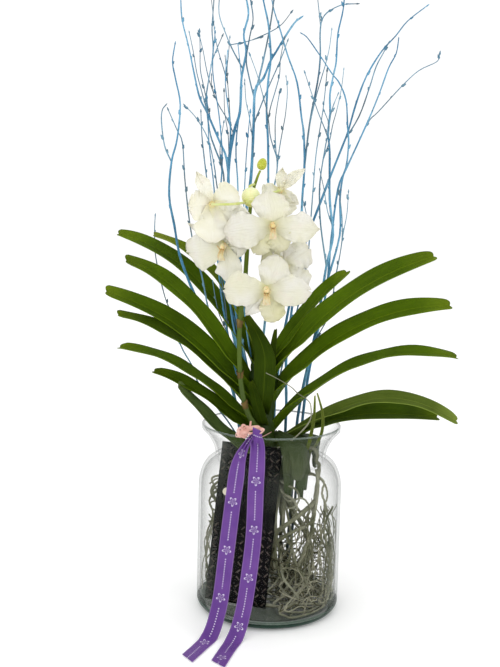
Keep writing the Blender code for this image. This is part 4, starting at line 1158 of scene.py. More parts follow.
for count, (at, radius) in enumerate(BRACTS):
    direction = (SPIKE_LINE[at + 1] - SPIKE_LINE[at - 1]).normalized()
    bract = add_piece(
        f"papery_bract_{count}",
        laid_grid(12, 28, bract_surface(SPIKE_LINE[at], direction, radius * MM, 0.9 + 2.1 * count)),
        bract_finish,
        "spike_green",
        "flower_spike",
    )
    thicken(bract, BRACT_THICKNESS)


# Blooms: six waxy white flowers, each with three sepals and two broader petals on narrow claws, gently
# wavy at the margin, finely netted with veins, and greenish cream towards the throat and the column.
TEPAL_LIFT = 0.0012
TEPAL_THICKNESS = 0.0007
BROADEST = 0.63
VEIN_CELLS = (6.0, 17.0, 1.0)
RIBS = 13

# Each row is the throat, the way that the bloom faces, the size of its middle, and its sepals and petals.
# Each of those is its turn in degrees, its length, its width and how far it bends back
BLOOMS = {
    "bloom_1": ((-13, -92, 434), (0.06, -0.98, 0.10), 1.00, [
        (70, 47, 38, 1.0), (180, 52, 42, 1.0), (0, 57, 38, 1.0), (232, 39, 20, 1.0), (289, 41, 32, 1.0),
    ]),
    "bloom_2": ((-65, -66, 486), (-0.42, -0.90, -0.05), 0.95, [
        (152, 58, 17, 0.4), (190, 59, 46, 1.0), (275, 47, 36, 1.0), (356, 25, 26, 1.6), (80, 17, 24, 1.4),
    ]),
    "bloom_3": ((-7, -74, 512), (0.08, -0.97, 0.14), 0.95, [
        (97, 45, 45, 1.0), (359, 60, 38, 1.0), (189, 60, 44, 0.8), (239, 40, 28, 1.0), (300, 34, 30, 1.0),
    ]),
    "bloom_4": ((-82, -70, 537), (-0.20, 0.95, 0.02), 0.90, [
        (62, 44, 18, 0.8), (158, 36, 36, 1.0), (351, 30, 38, 1.2), (270, 48, 42, 0.8), (216, 54, 44, 0.5),
    ]),
    "bloom_5": ((8, -40, 462), (0.30, -0.94, 0.05), 0.90, [
        (30, 47, 40, 1.0), (318, 48, 36, 1.0), (149, 30, 30, 1.0), (266, 32, 30, 1.0), (86, 34, 32, 1.0),
    ]),
    "bloom_6": ((3, -20, 558), (0.20, 0.94, 0.10), 0.85, [
        (97, 29, 14, 0.6), (139, 42, 15, 0.6), (215, 30, 18, 1.0), (264, 35, 36, 1.0), (341, 24, 28, 1.0),
    ]),
}
# Painted light: the two blooms seen from behind take a paler, less netted copy of the white finish, in place
# of the light that shines through them
BRIGHTENED_BLOOMS = ("bloom_4", "bloom_6")
CREAM = {"bloom_1": (4,), "bloom_3": (3, 4), "bloom_5": (2,)}
POINTED = {"bloom_1": (3,), "bloom_2": (0,), "bloom_3": (1,), "bloom_4": (0,), "bloom_6": (0, 1, 2)}


def bloom_frame(facing):
    ahead = Vector(facing).normalized()
    up = (Vector((0, 0, 1)) - ahead * ahead.z).normalized()
    return Matrix((up.cross(ahead), up, ahead)).transposed()


def tepal_surface(centre, frame, blade, pointed, draw):
    """The place(t, u) of one sepal or petal: narrow at its claw, round or pointed, waved at its margin."""
    angle, length, width, lift, reflex = blade
    out = Vector((math.cos(math.radians(angle)), math.sin(math.radians(angle)), 0))
    across = Vector((-out.y, out.x, 0))
    waves = [(draw.uniform(7, 12), draw.uniform(0, 6)) for _ in range(2)]
    crimps = [(draw.uniform(22, 34), draw.uniform(0, 6)) for _ in range(2)]
    uneven = draw.uniform(-0.07, 0.07)
    bow = draw.uniform(-0.05, 0.05)
    twist = draw.uniform(-0.22, 0.22)
    roundness = 1.5 if pointed else draw.uniform(2.2, 2.8)
    notch = 0.0 if pointed else draw.uniform(0.03, 0.09)
    notch_at = draw.uniform(-0.3, 0.3)
    ridge_at = draw.uniform(-0.15, 0.15)

    def place(t, u):
        pace, start = waves[0 if u < 0 else 1]
        crimp_pace, crimp_start = crimps[0 if u < 0 else 1]
        edge = abs(u) ** 1.5
        if t < BROADEST:
            wide = 0.30 + 0.70 * math.sin(math.pi / 2 * t / BROADEST) ** 1.25
        else:
            past = (t - BROADEST) / (1.008 - BROADEST)
            wide = max(1 - past**roundness, 0.0) ** (0.75 if pointed else 0.55)
        late = min(t / 0.35, 1.0)
        wide *= 1 + uneven * u
        flutter = 0.078 * math.sin(pace * t + start) + 0.036 * math.sin(crimp_pace * t + crimp_start)
        wide *= 1 + edge * late * flutter
        dent = notch * math.exp(-(((u - notch_at) / 0.22) ** 2)) * max(t - 0.75, 0.0) / 0.25
        tip_wave = 0.014 * math.sin(8 * u + start) * max(t - 0.6, 0.0) / 0.4
        reach = length * (t - dent + tip_wave - 0.05 * u**2 * t)
        half = width / 2 * wide
        swell = 0.0032 * math.sin(pace * t + start) + 0.0014 * math.sin(crimp_pace * t + crimp_start)
        bend = lift + length * (0.16 * t - 0.30 * reflex * t**2) - 0.16 * half * u**2
        bend += swell * edge * late + twist * u * half * t
        bend -= 0.0009 * math.exp(-(((u - ridge_at * t) / 0.10) ** 2)) * math.sin(math.pi * t)
        bend += 0.0010 * math.sin(4.2 * t + crimp_start) * math.cos(2.6 * u + start) * late
        sideways = u * half + bow * length * math.sin(math.pi * t)
        return centre + frame @ (out * reach + across * sideways + Vector((0, 0, bend)))

    return place


def petal_finish(name, netted, *shades):
    """A waxy petal, tinted along its length, in soft patches, with fine ribs and a net of veins between."""
    claw, throat, inner, outer, tip = [screen(*shade) for shade in shades]
    finish = new_finish(
        name,
        0.55,
        Specular_IOR_Level=0.20,
        Subsurface_Weight=0.40,
        Subsurface_Scale=0.004,
        Subsurface_Radius=(1.0, 0.96, 0.88),
    )
    length = own_axis(finish, "UV", "X")
    across = own_axis(finish, "UV", "Y")
    colour = colours(finish, length, (0.0, claw), (0.17, throat), (0.42, inner), (0.75, outer), (1.0, tip))
    patch = cloud(finish, 24.0)
    colour = mingle(finish, shift(finish, patch, 0.42, 0.66, 0.0, 0.75), colour, throat)
    bruise = cloud(finish, 52.0, detail=2.0)
    colour = mingle(finish, shift(finish, bruise, 0.58, 0.74, 0.0, 0.32), colour, screen(228, 212, 198))
    cells = {"Vector": own_place(finish, "UV", VEIN_CELLS), "Scale": 1.0}
    net = add_node(finish, "TexVoronoi", cells, feature="DISTANCE_TO_EDGE").outputs["Distance"]
    vein = shift(finish, net, 0.0, 0.10, 1.0, 0.0)
    waver = times(finish, cloud(finish, 4.0, detail=2.0, where="UV"), 0.07)
    ribs = reckon(finish, "PINGPONG", plus(finish, across, waver), 0.5 / RIBS)
    rib = shift(finish, ribs, 0.0, 0.012, 1.0, 0.0)
    lines = plus(finish, times(finish, vein, 0.10 * netted), times(finish, rib, 0.14 * netted))
    feed(finish, "Base Color", mingle(finish, lines, colour, screen(200, 192, 164)))
    crinkle = plus(finish, times(finish, rib, 0.8), cloud(finish, 150.0))
    relief(finish, plus(finish, times(finish, vein, 0.5), crinkle), 0.00036 * netted)
    return finish


def specks(finish, scale, small, large, strength):
    """Round specks at random over the piece, between the two sizes at which they fade."""
    cells = add_node(finish, "TexVoronoi", {
        "Vector": add_node(finish, "TexCoord").outputs["Object"],
        "Scale": scale,
    })
    return shift(finish, cells.outputs["Distance"], small, large, strength, 0.0)


# How strongly each finish is netted, and its shades at the claw, the throat, the middle, the broadest
# place and the tip
# The brightened backs are painted light: paler than the white, standing in for light through the two blooms
# seen from behind
PETAL_SHADES = {
    "white": (0.8, (212, 208, 142), (221, 218, 186), (227, 224, 209), (229, 226, 215), (225, 220, 205)),
    "cream": (0.8, (206, 200, 122), (210, 206, 152), (213, 209, 172), (214, 210, 180), (210, 205, 172)),
    "brightened_backs": (0.3, (220, 212, 156), (230, 225, 194), (236, 233, 216), (238, 235, 219), (230, 225, 205)),
}
petals = {name: petal_finish(f"petal_{name}", *row) for name, row in PETAL_SHADES.items()}

throat_finish = new_finish("throat_cream", 0.5, Specular_IOR_Level=0.25, Subsurface_Weight=0.2)
feed(throat_finish, "Subsurface Scale", 0.002)
throat_length = own_axis(throat_finish, "UV", "X")
throat_base = colours(
    throat_finish,
    throat_length,
    (0.0, screen(206, 176, 116)),
    (0.45, screen(212, 198, 150)),
    (1.0, screen(220, 212, 182)),
)
throat_cloud = cloud(throat_finish, 160.0, detail=2.0)
throat_patch = shift(throat_finish, throat_cloud, 0.45, 0.65, 0.0, 0.5)
throat_base = mingle(throat_finish, throat_patch, throat_base, screen(198, 178, 116))
inside = shift(throat_finish, throat_length, 0.15, 0.62, 1.0, 0.0)
throat_specks = times(throat_finish, specks(throat_finish, 520.0, 0.26, 0.38, 0.9), inside)
feed(throat_finish, "Base Color", mingle(throat_finish, throat_specks, throat_base, screen(150, 96, 44)))
relief(throat_finish, throat_cloud, 0.0004)

column_finish = new_finish("column_cream", 0.45, Specular_IOR_Level=0.3, Subsurface_Weight=0.3)
feed(column_finish, "Subsurface Scale", 0.003)
column_cream = colours(
    column_finish,
    cloud(column_finish, 110.0, detail=2.0),
    (0.35, screen(220, 192, 128)),
    (0.52, screen(228, 210, 158)),
    (0.68, screen(234, 224, 192)),
)
column_specks = specks(column_finish, 330.0, 0.16, 0.26, 0.75)
feed(column_finish, "Base Color", mingle(column_finish, column_specks, column_cream, screen(142, 92, 46)))
relief(column_finish, cloud(column_finish, 260.0), 0.0002)

# The bloom's middle, as (x, y, z) in its own frame: the column and its two rounded ends, the lip's middle
# lobe, and the ear that stands on each side of it
COLUMN_LINE = [(0, 0.001, -0.003), (0, 0.0014, 0.0040), (0, 0.0, 0.0078)]
COLUMN_RADII = [0.0036] * 6 + [0.0035] * 4 + [0.0030]
COLUMN_ENDS = [((0, 0, -0.0010), (0.0050, 0.0050, 0.0036)), ((0, -0.0004, 0.0080), (0.0036, 0.0032, 0.0022))]
LIP_LINE = [
    (0, -0.0030, 0.0050),
    (0, -0.0058, 0.0085),
    (0, -0.0095, 0.0108),
    (0, -0.0140, 0.0112),
    (0, -0.0182, 0.0092),
]
LIP_THICKNESS = 0.0008
EAR_LINE = [
    (0.0012, -0.0046, 0.0052),
    (0.0034, -0.0036, 0.0080),
    (0.0052, -0.0014, 0.0096),
    (0.0058, 0.0008, 0.0092),
]
EAR_THICKNESS = 0.0007


def lip_surface(points, across, forward, size, ruffle):
    """The place(t, u) of a lip's middle lobe: ridged in the throat, frilled and cleft at its end."""

    def place(t, u):
        half = 0.0030 * size * (0.75 + 1.1 * t - 0.25 * t**6)
        ridge = 0.0011 * math.cos(2 * math.pi * u) * (1 - t)
        frill = 0.0012 * math.sin(7 * u + 9 * t + ruffle) * t**2 * abs(u)
        cleft = forward * -0.0016 * (1 - abs(u)) ** 3 * t**4
        return along(points, t) + across * u * half + forward * (0.0012 * u**2 + ridge + frill) + cleft

    return place


def ear_surface(points, rise, forward, size, ruffle):
    def place(t, u):
        half = 0.0024 * size * math.sin(math.pi * (0.22 + 0.70 * t)) ** 0.8
        curl = forward * (0.0008 * math.sin(6 * t + ruffle) * u)
        return along(points, t) + rise * u * half + curl

    return place


draw = random.Random(21)
for name, (throat, facing, size, blades) in BLOOMS.items():
    centre = Vector(throat) * MM
    turned = bloom_frame(facing)
    forward = turned @ Vector((0, 0, 1))

    def in_bloom(x, y, z):
        return centre + turned @ Vector((x, y, z)) * size

    white = petals["brightened_backs" if name in BRIGHTENED_BLOOMS else "white"]
    for count, (angle, length, width, bend) in enumerate(blades):
        lift = TEPAL_LIFT if count in (1, 2) else -TEPAL_LIFT
        blade = (angle, length * MM, width * MM, lift, bend)
        tepal = add_piece(
            f"{name}_tepal_{count}",
            laid_grid(44, 32, tepal_surface(centre, turned, blade, count in POINTED.get(name, ()), draw)),
            petals["cream"] if count in CREAM.get(name, ()) else white,
            "petal_white",
            name,
        )
        thicken(tepal, TEPAL_THICKNESS)

    line = rounded_route([in_bloom(*point) for point in COLUMN_LINE], 10)
    bm = tubes([(line, [radius * size for radius in COLUMN_RADII])], 14)
    for end, radii in COLUMN_ENDS:
        add_ball(bm, in_bloom(*end), turned, [radius * size for radius in radii], 16, 10)
    add_piece(f"{name}_column", bm, column_finish, "petal_white", name)

    across = turned @ Vector((1, 0, 0))
    ruffle = draw.uniform(0.0, 6.0)
    points = [in_bloom(*point) for point in LIP_LINE]
    lobe = add_piece(
        f"{name}_lip_lobe",
        laid_grid(26, 20, lip_surface(points, across, forward, size, ruffle)),
        throat_finish,
        "lip_cream",
        f"{name}_lip",
    )
    thicken(lobe, LIP_THICKNESS)
    for hand, side in ((-1, "left"), (1, "right")):
        points = [in_bloom(x * hand, y, z) for x, y, z in EAR_LINE]
        rise = turned @ Vector((0.3 * hand, 0.75, 0.55)).normalized()
        ear = add_piece(
            f"{name}_lip_ear_{side}",
            laid_grid(16, 12, ear_surface(points, rise, forward, size, ruffle)),
            throat_finish,
            "lip_cream",
            f"{name}_lip",
        )
        thicken(ear, EAR_THICKNESS)


# Buds: a large one that nods in front of the stalk and a small one at its tip. Each is still closed: three
# sepals folded over each other, ribbed along, yellow-green with cream veins.

# Each row is the middle, the way that the bud points, its length and its radius
BUDS = {
    "large_bud": ((-34, -46, 547), (0.1, -0.5, -0.8), 25, 11.5),
    "small_bud": ((-21, -30, 590), (0.3, 0.0, 1.0), 15, 6.0),
}

bud_finish = new_finish("bud_green", 0.45, Specular_IOR_Level=0.3, Subsurface_Weight=0.1)
bud_streak = cloud(bud_finish, 3.0, (14, 1.5, 1), 3.0, "UV")
bud_colour = colours(
    bud_finish,
    bud_streak,
    (0.30, screen(196, 200, 84)),
    (0.50, screen(220, 222, 126)),
    (0.70, screen(246, 244, 190)),
)
feed(bud_finish, "Base Color", bud_colour)
relief(bud_finish, bud_streak, 0.0006)
small_bud_finish = bud_finish.copy()
small_bud_finish.name = "small_bud_green"
# Painted highlight: the large bud's upper half is paled towards whitish cream
painted_highlight_top = shift(bud_finish, own_axis(bud_finish, "Object", "Z"), 0.538, 0.556, 0.0, 0.6)
feed(bud_finish, "Base Color", mingle(bud_finish, painted_highlight_top, bud_colour, screen(250, 250, 216)))
greener = [screen(150, 164, 40), screen(184, 192, 62), screen(212, 214, 100)]
ramp = next(node for node in small_bud_finish.node_tree.nodes if node.type == "VALTORGB").color_ramp
for element, colour in zip(ramp.elements, greener):
    element.color = colour


def bud_surface(middle, turned, length, radius):
    def place(t, u):
        angle = math.pi * u
        rise = -math.cos(math.pi * t)
        full = math.sin(math.pi * t) ** 0.85 * (1 - 0.12 * rise)
        furrow = 1 - 0.07 * max(math.cos(3 * angle + 1.2 * t), 0.0) ** 6 + 0.012 * math.cos(15 * angle)
        out = radius * full * furrow
        return middle + turned @ Vector((out * math.cos(angle), out * math.sin(angle), rise * length / 2))

    return place


for name, (middle, points_to, length, radius) in BUDS.items():
    turned = Vector(points_to).to_track_quat("Z", "Y").to_matrix()
    surface = bud_surface(Vector(middle) * MM, turned, length * MM, radius * MM)
    add_piece(
        f"closed_{name}",
        laid_grid(28, 60, surface, closed=True),
        bud_finish if name == "large_bud" else small_bud_finish,
        "bud_green",
        name,
    )


# Bloom stalks: a thin stalk grows from the spike to the back of each bloom and to the larger bud. It bends
# forward and runs straight into the bloom's back. It is pale green, mottled with cream.
STALK_RADII = (0.0017, 0.0014)
STALK_STRAIGHT = 0.010
BUD_STALK_STRAIGHT = 0.005
BEHIND_THROAT = 0.0050
STALK_SAG = 0.002

# Each joint is given as its share of the spike's line
SPIKE_JOINTS = {
    "bloom_1": 0.54,
    "bloom_2": 0.64,
    "bloom_3": 0.68,
    "bloom_4": 0.775,
    "bloom_5": 0.66,
    "bloom_6": 0.80,
    "large_bud": 0.86,
}
STALK_TO_FRONT = {"bloom_4": 0.026, "bloom_6": 0.004}

stalk_lines = []
for name, row in BLOOMS.items():
    forward = bloom_frame(row[1]) @ Vector((0, 0, 1))
    start = along(SPIKE_LINE, SPIKE_JOINTS[name])
    end = Vector(row[0]) * MM - forward * BEHIND_THROAT * row[2]
    before = end - forward * STALK_STRAIGHT
    middle = start.lerp(before, 0.5) + Vector((0, -STALK_TO_FRONT.get(name, 0.0), -STALK_SAG))
    line = rounded_route([start, middle, before, end], 30)
    stalk_lines.append((line, tapered(len(line), *STALK_RADII)))
middle, points_to, length, radius = BUDS["large_bud"]
direction = Vector(points_to).normalized()
base = Vector(middle) * MM - direction * length / 2 * MM
joint = along(SPIKE_LINE, SPIKE_JOINTS["large_bud"])
line = rounded_route([joint, base - direction * BUD_STALK_STRAIGHT, base], 20)
stalk_lines.append((line, tapered(len(line), *STALK_RADII)))

stalk_finish = new_finish("pale_stalk", 0.5, Specular_IOR_Level=0.25, Subsurface_Weight=0.1)
stalk_grain = cloud(stalk_finish, 70.0)
tint(
    stalk_finish,
    stalk_grain,
    (0.35, screen(196, 204, 120)),
    (0.60, screen(214, 218, 156)),
    (0.80, screen(226, 228, 188)),
)
relief(stalk_finish, cloud(stalk_finish, 300.0), 0.0002)
add_piece("bloom_stalks", tubes(stalk_lines, 10), stalk_finish, "spike_green", "flower_spike")


# Birch: eight bare branches stood in the vase behind the plant, sprayed with bright blue paint, and dark
# slate grey low down in the vase. Each shoot is a line of (x, z) points in a layer that leans back with
# height: the layer's y at the rim, its lean, the thickness at foot and tip, then the points.
RIM = 250
FOOT_CENTRE = (12, 50)
FOOT_GATHER = 0.55
BRANCHES = {
    "left": [
        (33.5, -0.115, 2.7, 0.8, [
            (-45, 250), (-59, 306), (-75, 362), (-93, 392), (-112, 431), (-127, 472), (-134, 510),
            (-141, 549), (-138, 592), (-131, 620), (-127, 663), (-133, 694), (-137, 715),
            (-134, 736),
        ]),
        (33.5, -0.115, 1.1, 0.7, [
            (-138, 592), (-147, 612), (-151, 642), (-150, 656), (-146, 662),
        ]),
        (33.5, -0.115, 1.3, 0.7, [
            (-72, 356), (-88, 400), (-97, 443), (-111, 497), (-118, 546), (-121, 575), (-124, 616),
            (-131, 632), (-142, 656),
        ]),
        (34, 0.25, 1.3, 0.7, [
            (-36, 215), (-61, 246), (-99, 290), (-111, 317), (-128, 345), (-140, 384), (-152, 410),
            (-167, 465), (-170, 500), (-170, 523),
        ]),
    ],
    "left_back": [
        (52, 0.1, 2.7, 0.8, [
            (-30, 250), (-42, 300), (-50, 340), (-63, 392), (-74, 443), (-74, 499), (-66, 561),
            (-70, 605), (-80, 628), (-97, 665), (-109, 688), (-117, 719), (-126, 758), (-136, 796),
            (-139, 832), (-144, 872),
        ]),
        (54, 0.1, 1.2, 0.8, [
            (-74, 470), (-90, 536), (-97, 578), (-101, 605), (-105, 637), (-107, 668),
        ]),
        (48, 0.07, 1.4, 0.8, [
            (-74, 455), (-71, 520), (-73, 582), (-85, 616), (-92, 635), (-97, 662), (-99, 686),
            (-96, 711), (-92, 736), (-91, 757), (-93, 780), (-91, 824), (-92, 862),
        ]),
        (49, 0.07, 0.9, 0.6, [
            (-92, 736), (-86, 752), (-79, 769),
        ]),
        (50, 0.05, 1.0, 0.6, [
            (-73, 520), (-81, 563), (-86, 594), (-95, 629), (-111, 656), (-127, 673),
        ]),
    ],
    "back": [
        (60, 0.14, 3.2, 1.3, [
            (-12, 250), (-30, 300), (-44, 340), (-53, 408), (-63, 500), (-67, 566), (-66, 607),
            (-60, 647), (-53, 673), (-52, 716), (-50, 733), (-46, 759), (-50, 783), (-44, 812),
            (-49, 842), (-50, 874),
        ]),
        (62, 0.14, 1.2, 0.7, [
            (-50, 733), (-67, 764), (-75, 782), (-86, 812), (-85, 848),
        ]),
        (62, 0.14, 0.8, 0.6, [
            (-69, 768), (-50, 772), (-27, 779),
        ]),
        (64, 0.15, 1.0, 0.6, [
            (-64, 622), (-67, 664), (-70, 700), (-76, 752),
        ]),
        (57, 0.13, 1.0, 0.6, [
            (-61, 642), (-71, 662), (-83, 681), (-93, 704), (-94, 722),
        ]),
    ],
    "centre": [
        (44, 0.05, 2.9, 1.3, [
            (-14, 250), (-28, 330), (-43, 400), (-49, 462), (-41, 530), (-35, 578), (-33, 644),
            (-32, 695), (-21, 712), (-12, 735), (-5, 747), (6, 766), (19, 786), (27, 793),
        ]),
        (44, 0.05, 1.4, 0.8, [
            (-32, 690), (-22, 735), (-15, 773), (-10, 811), (-8, 846), (-5, 868),
        ]),
        (46, 0.06, 1.2, 0.7, [
            (-32, 682), (-41, 715), (-45, 738), (-41, 768), (-37, 792), (-41, 822), (-40, 852),
        ]),
        (41, 0.02, 2.1, 1.1, [
            (-24, 306), (-13, 360), (-9, 450), (-11, 558), (-13, 624), (-16, 666), (-15, 704),
            (-12, 736), (-16, 777), (-22, 803), (-29, 832), (-33, 858),
        ]),
        (42, 0.04, 1.1, 0.6, [
            (-33, 650), (-23, 676), (-11, 706), (2, 737), (10, 760),
        ]),
        (38, 0.0, 1.1, 0.6, [
            (-10, 500), (-4, 560), (0, 590), (-3, 620), (-4, 655), (1, 692),
        ]),
    ],
    "right_centre": [
        (56, 0.08, 2.6, 0.8, [
            (5, 250), (9, 310), (17, 369), (35, 480), (37, 549), (39, 596), (37, 640), (33, 665),
            (26, 711), (12, 748), (1, 782), (-10, 815), (-15, 846),
        ]),
        (54, 0.08, 1.5, 0.7, [
            (39, 594), (45, 658), (54, 711), (57, 746), (56, 778), (58, 796), (66, 808), (85, 818),
            (105, 820),
        ]),
        (51, 0.07, 0.8, 0.6, [
            (40, 612), (45, 655), (51, 684),
        ]),
    ],
    "right_back": [
        (60, 0.16, 2.5, 0.8, [
            (22, 250), (21, 300), (22, 350), (38, 466), (68, 557), (94, 627), (102, 649),
            (113, 690), (127, 729), (148, 765), (168, 788), (185, 810), (212, 832),
        ]),
        (60, 0.15, 1.2, 0.7, [
            (98, 638), (117, 671), (131, 712), (140, 742), (150, 762), (157, 776),
        ]),
    ],
    "right": [
        (48, 0.12, 2.3, 0.8, [
            (45, 250), (52, 310), (60, 352), (74, 425), (79, 495), (87, 566), (99, 597), (125, 657),
            (141, 698), (154, 736), (164, 756), (167, 776),
        ]),
        (48, 0.13, 1.0, 0.6, [
            (119, 645), (130, 664), (142, 676), (173, 711), (197, 734), (222, 747), (226, 757),
        ]),
        (46, 0.09, 1.6, 0.7, [
            (81, 440), (90, 502), (89, 551), (92, 581), (97, 600), (99, 630), (97, 651), (94, 687),
            (84, 711), (74, 723), (57, 747), (39, 771), (31, 777),
        ]),
    ],
    "right_front": [
        (34, 0.02, 2.4, 0.9, [
            (37, 250), (53, 343), (60, 378), (66, 427), (71, 465), (78, 502), (72, 550), (70, 613),
            (67, 638), (69, 664), (68, 689), (72, 715), (75, 732), (76, 767), (82, 799), (84, 835),
            (86, 870),
        ]),
        (37, -0.01, 1.0, 0.6, [
            (66, 352), (76, 395), (83, 446), (88, 477), (90, 500), (89, 526), (84, 560),
        ]),
        (32, 0.01, 0.9, 0.6, [
            (68, 655), (72, 672), (78, 688),
        ]),
        (30, -0.01, 1.3, 0.6, [
            (71, 460), (60, 515), (57, 556), (58, 582), (63, 620), (67, 645), (60, 664),
        ]),
    ],
}
BUD_SPACING = 0.042
BUD_LENGTH = 0.0072
BUD_RADIUS = 0.0019
TIP_BUD_RADIUS = 0.0016
LEAVES_TOP = 0.34
SLENDER = 1.45
SHOOTS_TOP = 0.845
SHOOT_THINNING = 0.94
FRONT_SHOOT_TIP = 0.6
SIDE_SHOOT_RADII = (0.0008, 0.0005)

# Thin shoots that come forward between the leaves, each as its branch, thickness and route
FRONT_SHOOTS = {
    "left_back": [
        (2.0, [(-30, 50, 252), (-36, 32, 276), (-46, 16, 306), (-56, 10, 345), (-66, 12, 392), (-74, 18, 440),
               (-80, 26, 500), (-84, 34, 560), (-92, 40, 620), (-96, 46, 680)]),
        (1.8, [(-30, 50, 258), (-34, 30, 282), (-40, 14, 312), (-48, 6, 352), (-57, 7, 396), (-62, 12, 444),
               (-60, 22, 510), (-66, 34, 580), (-64, 40, 640), (-72, 46, 700), (-70, 50, 742)]),
    ],
    "centre": [
        (2.1, [(-14, 44, 254), (-22, 28, 280), (-31, 14, 310), (-40, 6, 350), (-50, 6, 392), (-56, 10, 440),
               (-54, 20, 500), (-52, 30, 560), (-56, 38, 620), (-50, 44, 690), (-56, 48, 750)]),
        (1.6, [(-14, 44, 258), (-20, 26, 288), (-26, 12, 322), (-34, 8, 362), (-40, 8, 402), (-46, 14, 452),
               (-44, 26, 520), (-42, 36, 600), (-38, 42, 662)]),
    ],
    "back": [
        (1.8, [(-12, 60, 256), (-24, 34, 290), (-36, 18, 322), (-46, 12, 366), (-60, 10, 410), (-70, 14, 456),
               (-76, 26, 530), (-74, 40, 600), (-80, 52, 660), (-90, 62, 720), (-88, 70, 770)]),
    ],
    "right_centre": [
        (1.3, [(5, 56, 262), (12, 44, 310), (22, 34, 360), (34, 30, 410), (44, 32, 470), (48, 38, 540),
               (52, 44, 610), (60, 50, 670), (64, 54, 720)]),
    ],
}
# Further thin side shoots grown at random: how many on each branch
SIDE_SHOOTS = {
    "left": 0,
    "left_back": 5,
    "back": 6,
    "centre": 6,
    "right_centre": 3,
    "right_back": 0,
    "right": 0,
    "right_front": 4,
}


def nearest_on(points, target):
    """The point of a line of points nearest to the target."""
    best = None
    for start, end in zip(points[:-1], points[1:]):
        run = end - start
        share = min(max((target - start).dot(run) / run.length_squared, 0.0), 1.0)
        spot = start + run * share
        if best is None or (spot - target).length < (best - target).length:
            best = spot
    return best


def add_bud(bm, spot, direction, long, wide):
    """One pointed bud with its foot at the spot."""
    turned = direction.to_track_quat("Z", "Y").to_matrix()
    middle = spot + direction * long * 0.36
    for vert in add_ball(bm, middle, turned, (wide, wide, long / 2), 6, 5):
        tip = (vert.co - middle).dot(direction)
        if tip > 0:
            vert.co -= (vert.co - middle - direction * tip) * 0.35


def add_buds(bm, points, draw):
    """Pointed buds on alternate sides of a shoot at uneven steps, and one at its tip."""
    hand = 1
    travelled = 0.0
    next_bud = 0.012
    for start, end in zip(points[:-1], points[1:]):
        run = end - start
        while travelled + run.length > next_bud:
            spot = start + run * ((next_bud - travelled) / run.length)
            if spot.z > LEAVES_TOP:
                across = Vector((draw.uniform(0.5, 1.0), draw.uniform(-0.5, 0.5), 0)).normalized() * hand
                direction = (run.normalized() + across * draw.uniform(0.30, 0.60)).normalized()
                size = draw.uniform(0.6, 1.2)
                add_bud(bm, spot, direction, BUD_LENGTH * size, BUD_RADIUS * size)
            next_bud += BUD_SPACING * draw.uniform(0.4, 1.8)
            hand = -hand
        travelled += run.length
    tip = draw.uniform(0.55, 1.0)
    add_bud(bm, points[-1], (points[-1] - points[-2]).normalized(), BUD_LENGTH * tip, TIP_BUD_RADIUS * tip)


def side_shoot(parents, draw):
    """A thin shoot from a random place on the branch, leaving at a small angle and bending upright."""
    parent = draw.choice(parents)
    at = draw.randint(len(parent) * 2 // 5, len(parent) * 7 // 10)
    spot = parent[at].copy()
    heading = (parent[at + 1] - parent[at]).normalized()
    heading += Vector((draw.uniform(-0.35, 0.35), draw.uniform(-0.12, 0.12), 0))
    points = [spot.copy()]
    for _ in range(draw.randint(3, 5)):
        heading = heading.normalized() + Vector((draw.uniform(-0.2, 0.2), draw.uniform(-0.08, 0.08), 0.25))
        spot += heading.normalized() * draw.uniform(0.018, 0.030)
        if spot.z < SHOOTS_TOP:
            points.append(spot.copy())
    return points


def painted(name, dark, light, bright, bare):
    """Matt blue paint on bark: brushed lighter and darker along, and worn through to the bark in places."""
    finish = new_finish(name, 0.7, Specular_IOR_Level=0.10)
    coats = cloud(finish, 34.0, (1, 1, 0.35), 3.0)
    paint = colours(finish, coats, (0.32, dark), (0.50, light), (0.68, bright))
    speckle = cloud(finish, 420.0, (1, 1, 0.5), 2.0)
    paint = mingle(finish, shift(finish, speckle, 0.56, 0.70, 0.0, 0.55), paint, screen(48, 70, 86))
    worn = shift(finish, cloud(finish, 15.0, (1, 1, 0.8), 2.0), 0.50, 0.60, 0.0, bare)
    paint = mingle(finish, worn, paint, screen(92, 104, 108))
    in_vase = shift(finish, own_axis(finish, "Object", "Z"), 0.19, 0.28, 1.0, 0.0)
    feed(finish, "Base Color", mingle(finish, in_vase, paint, screen(58, 72, 78)))
    relief(finish, plus(finish, coats, speckle), 0.0004)
    return finish


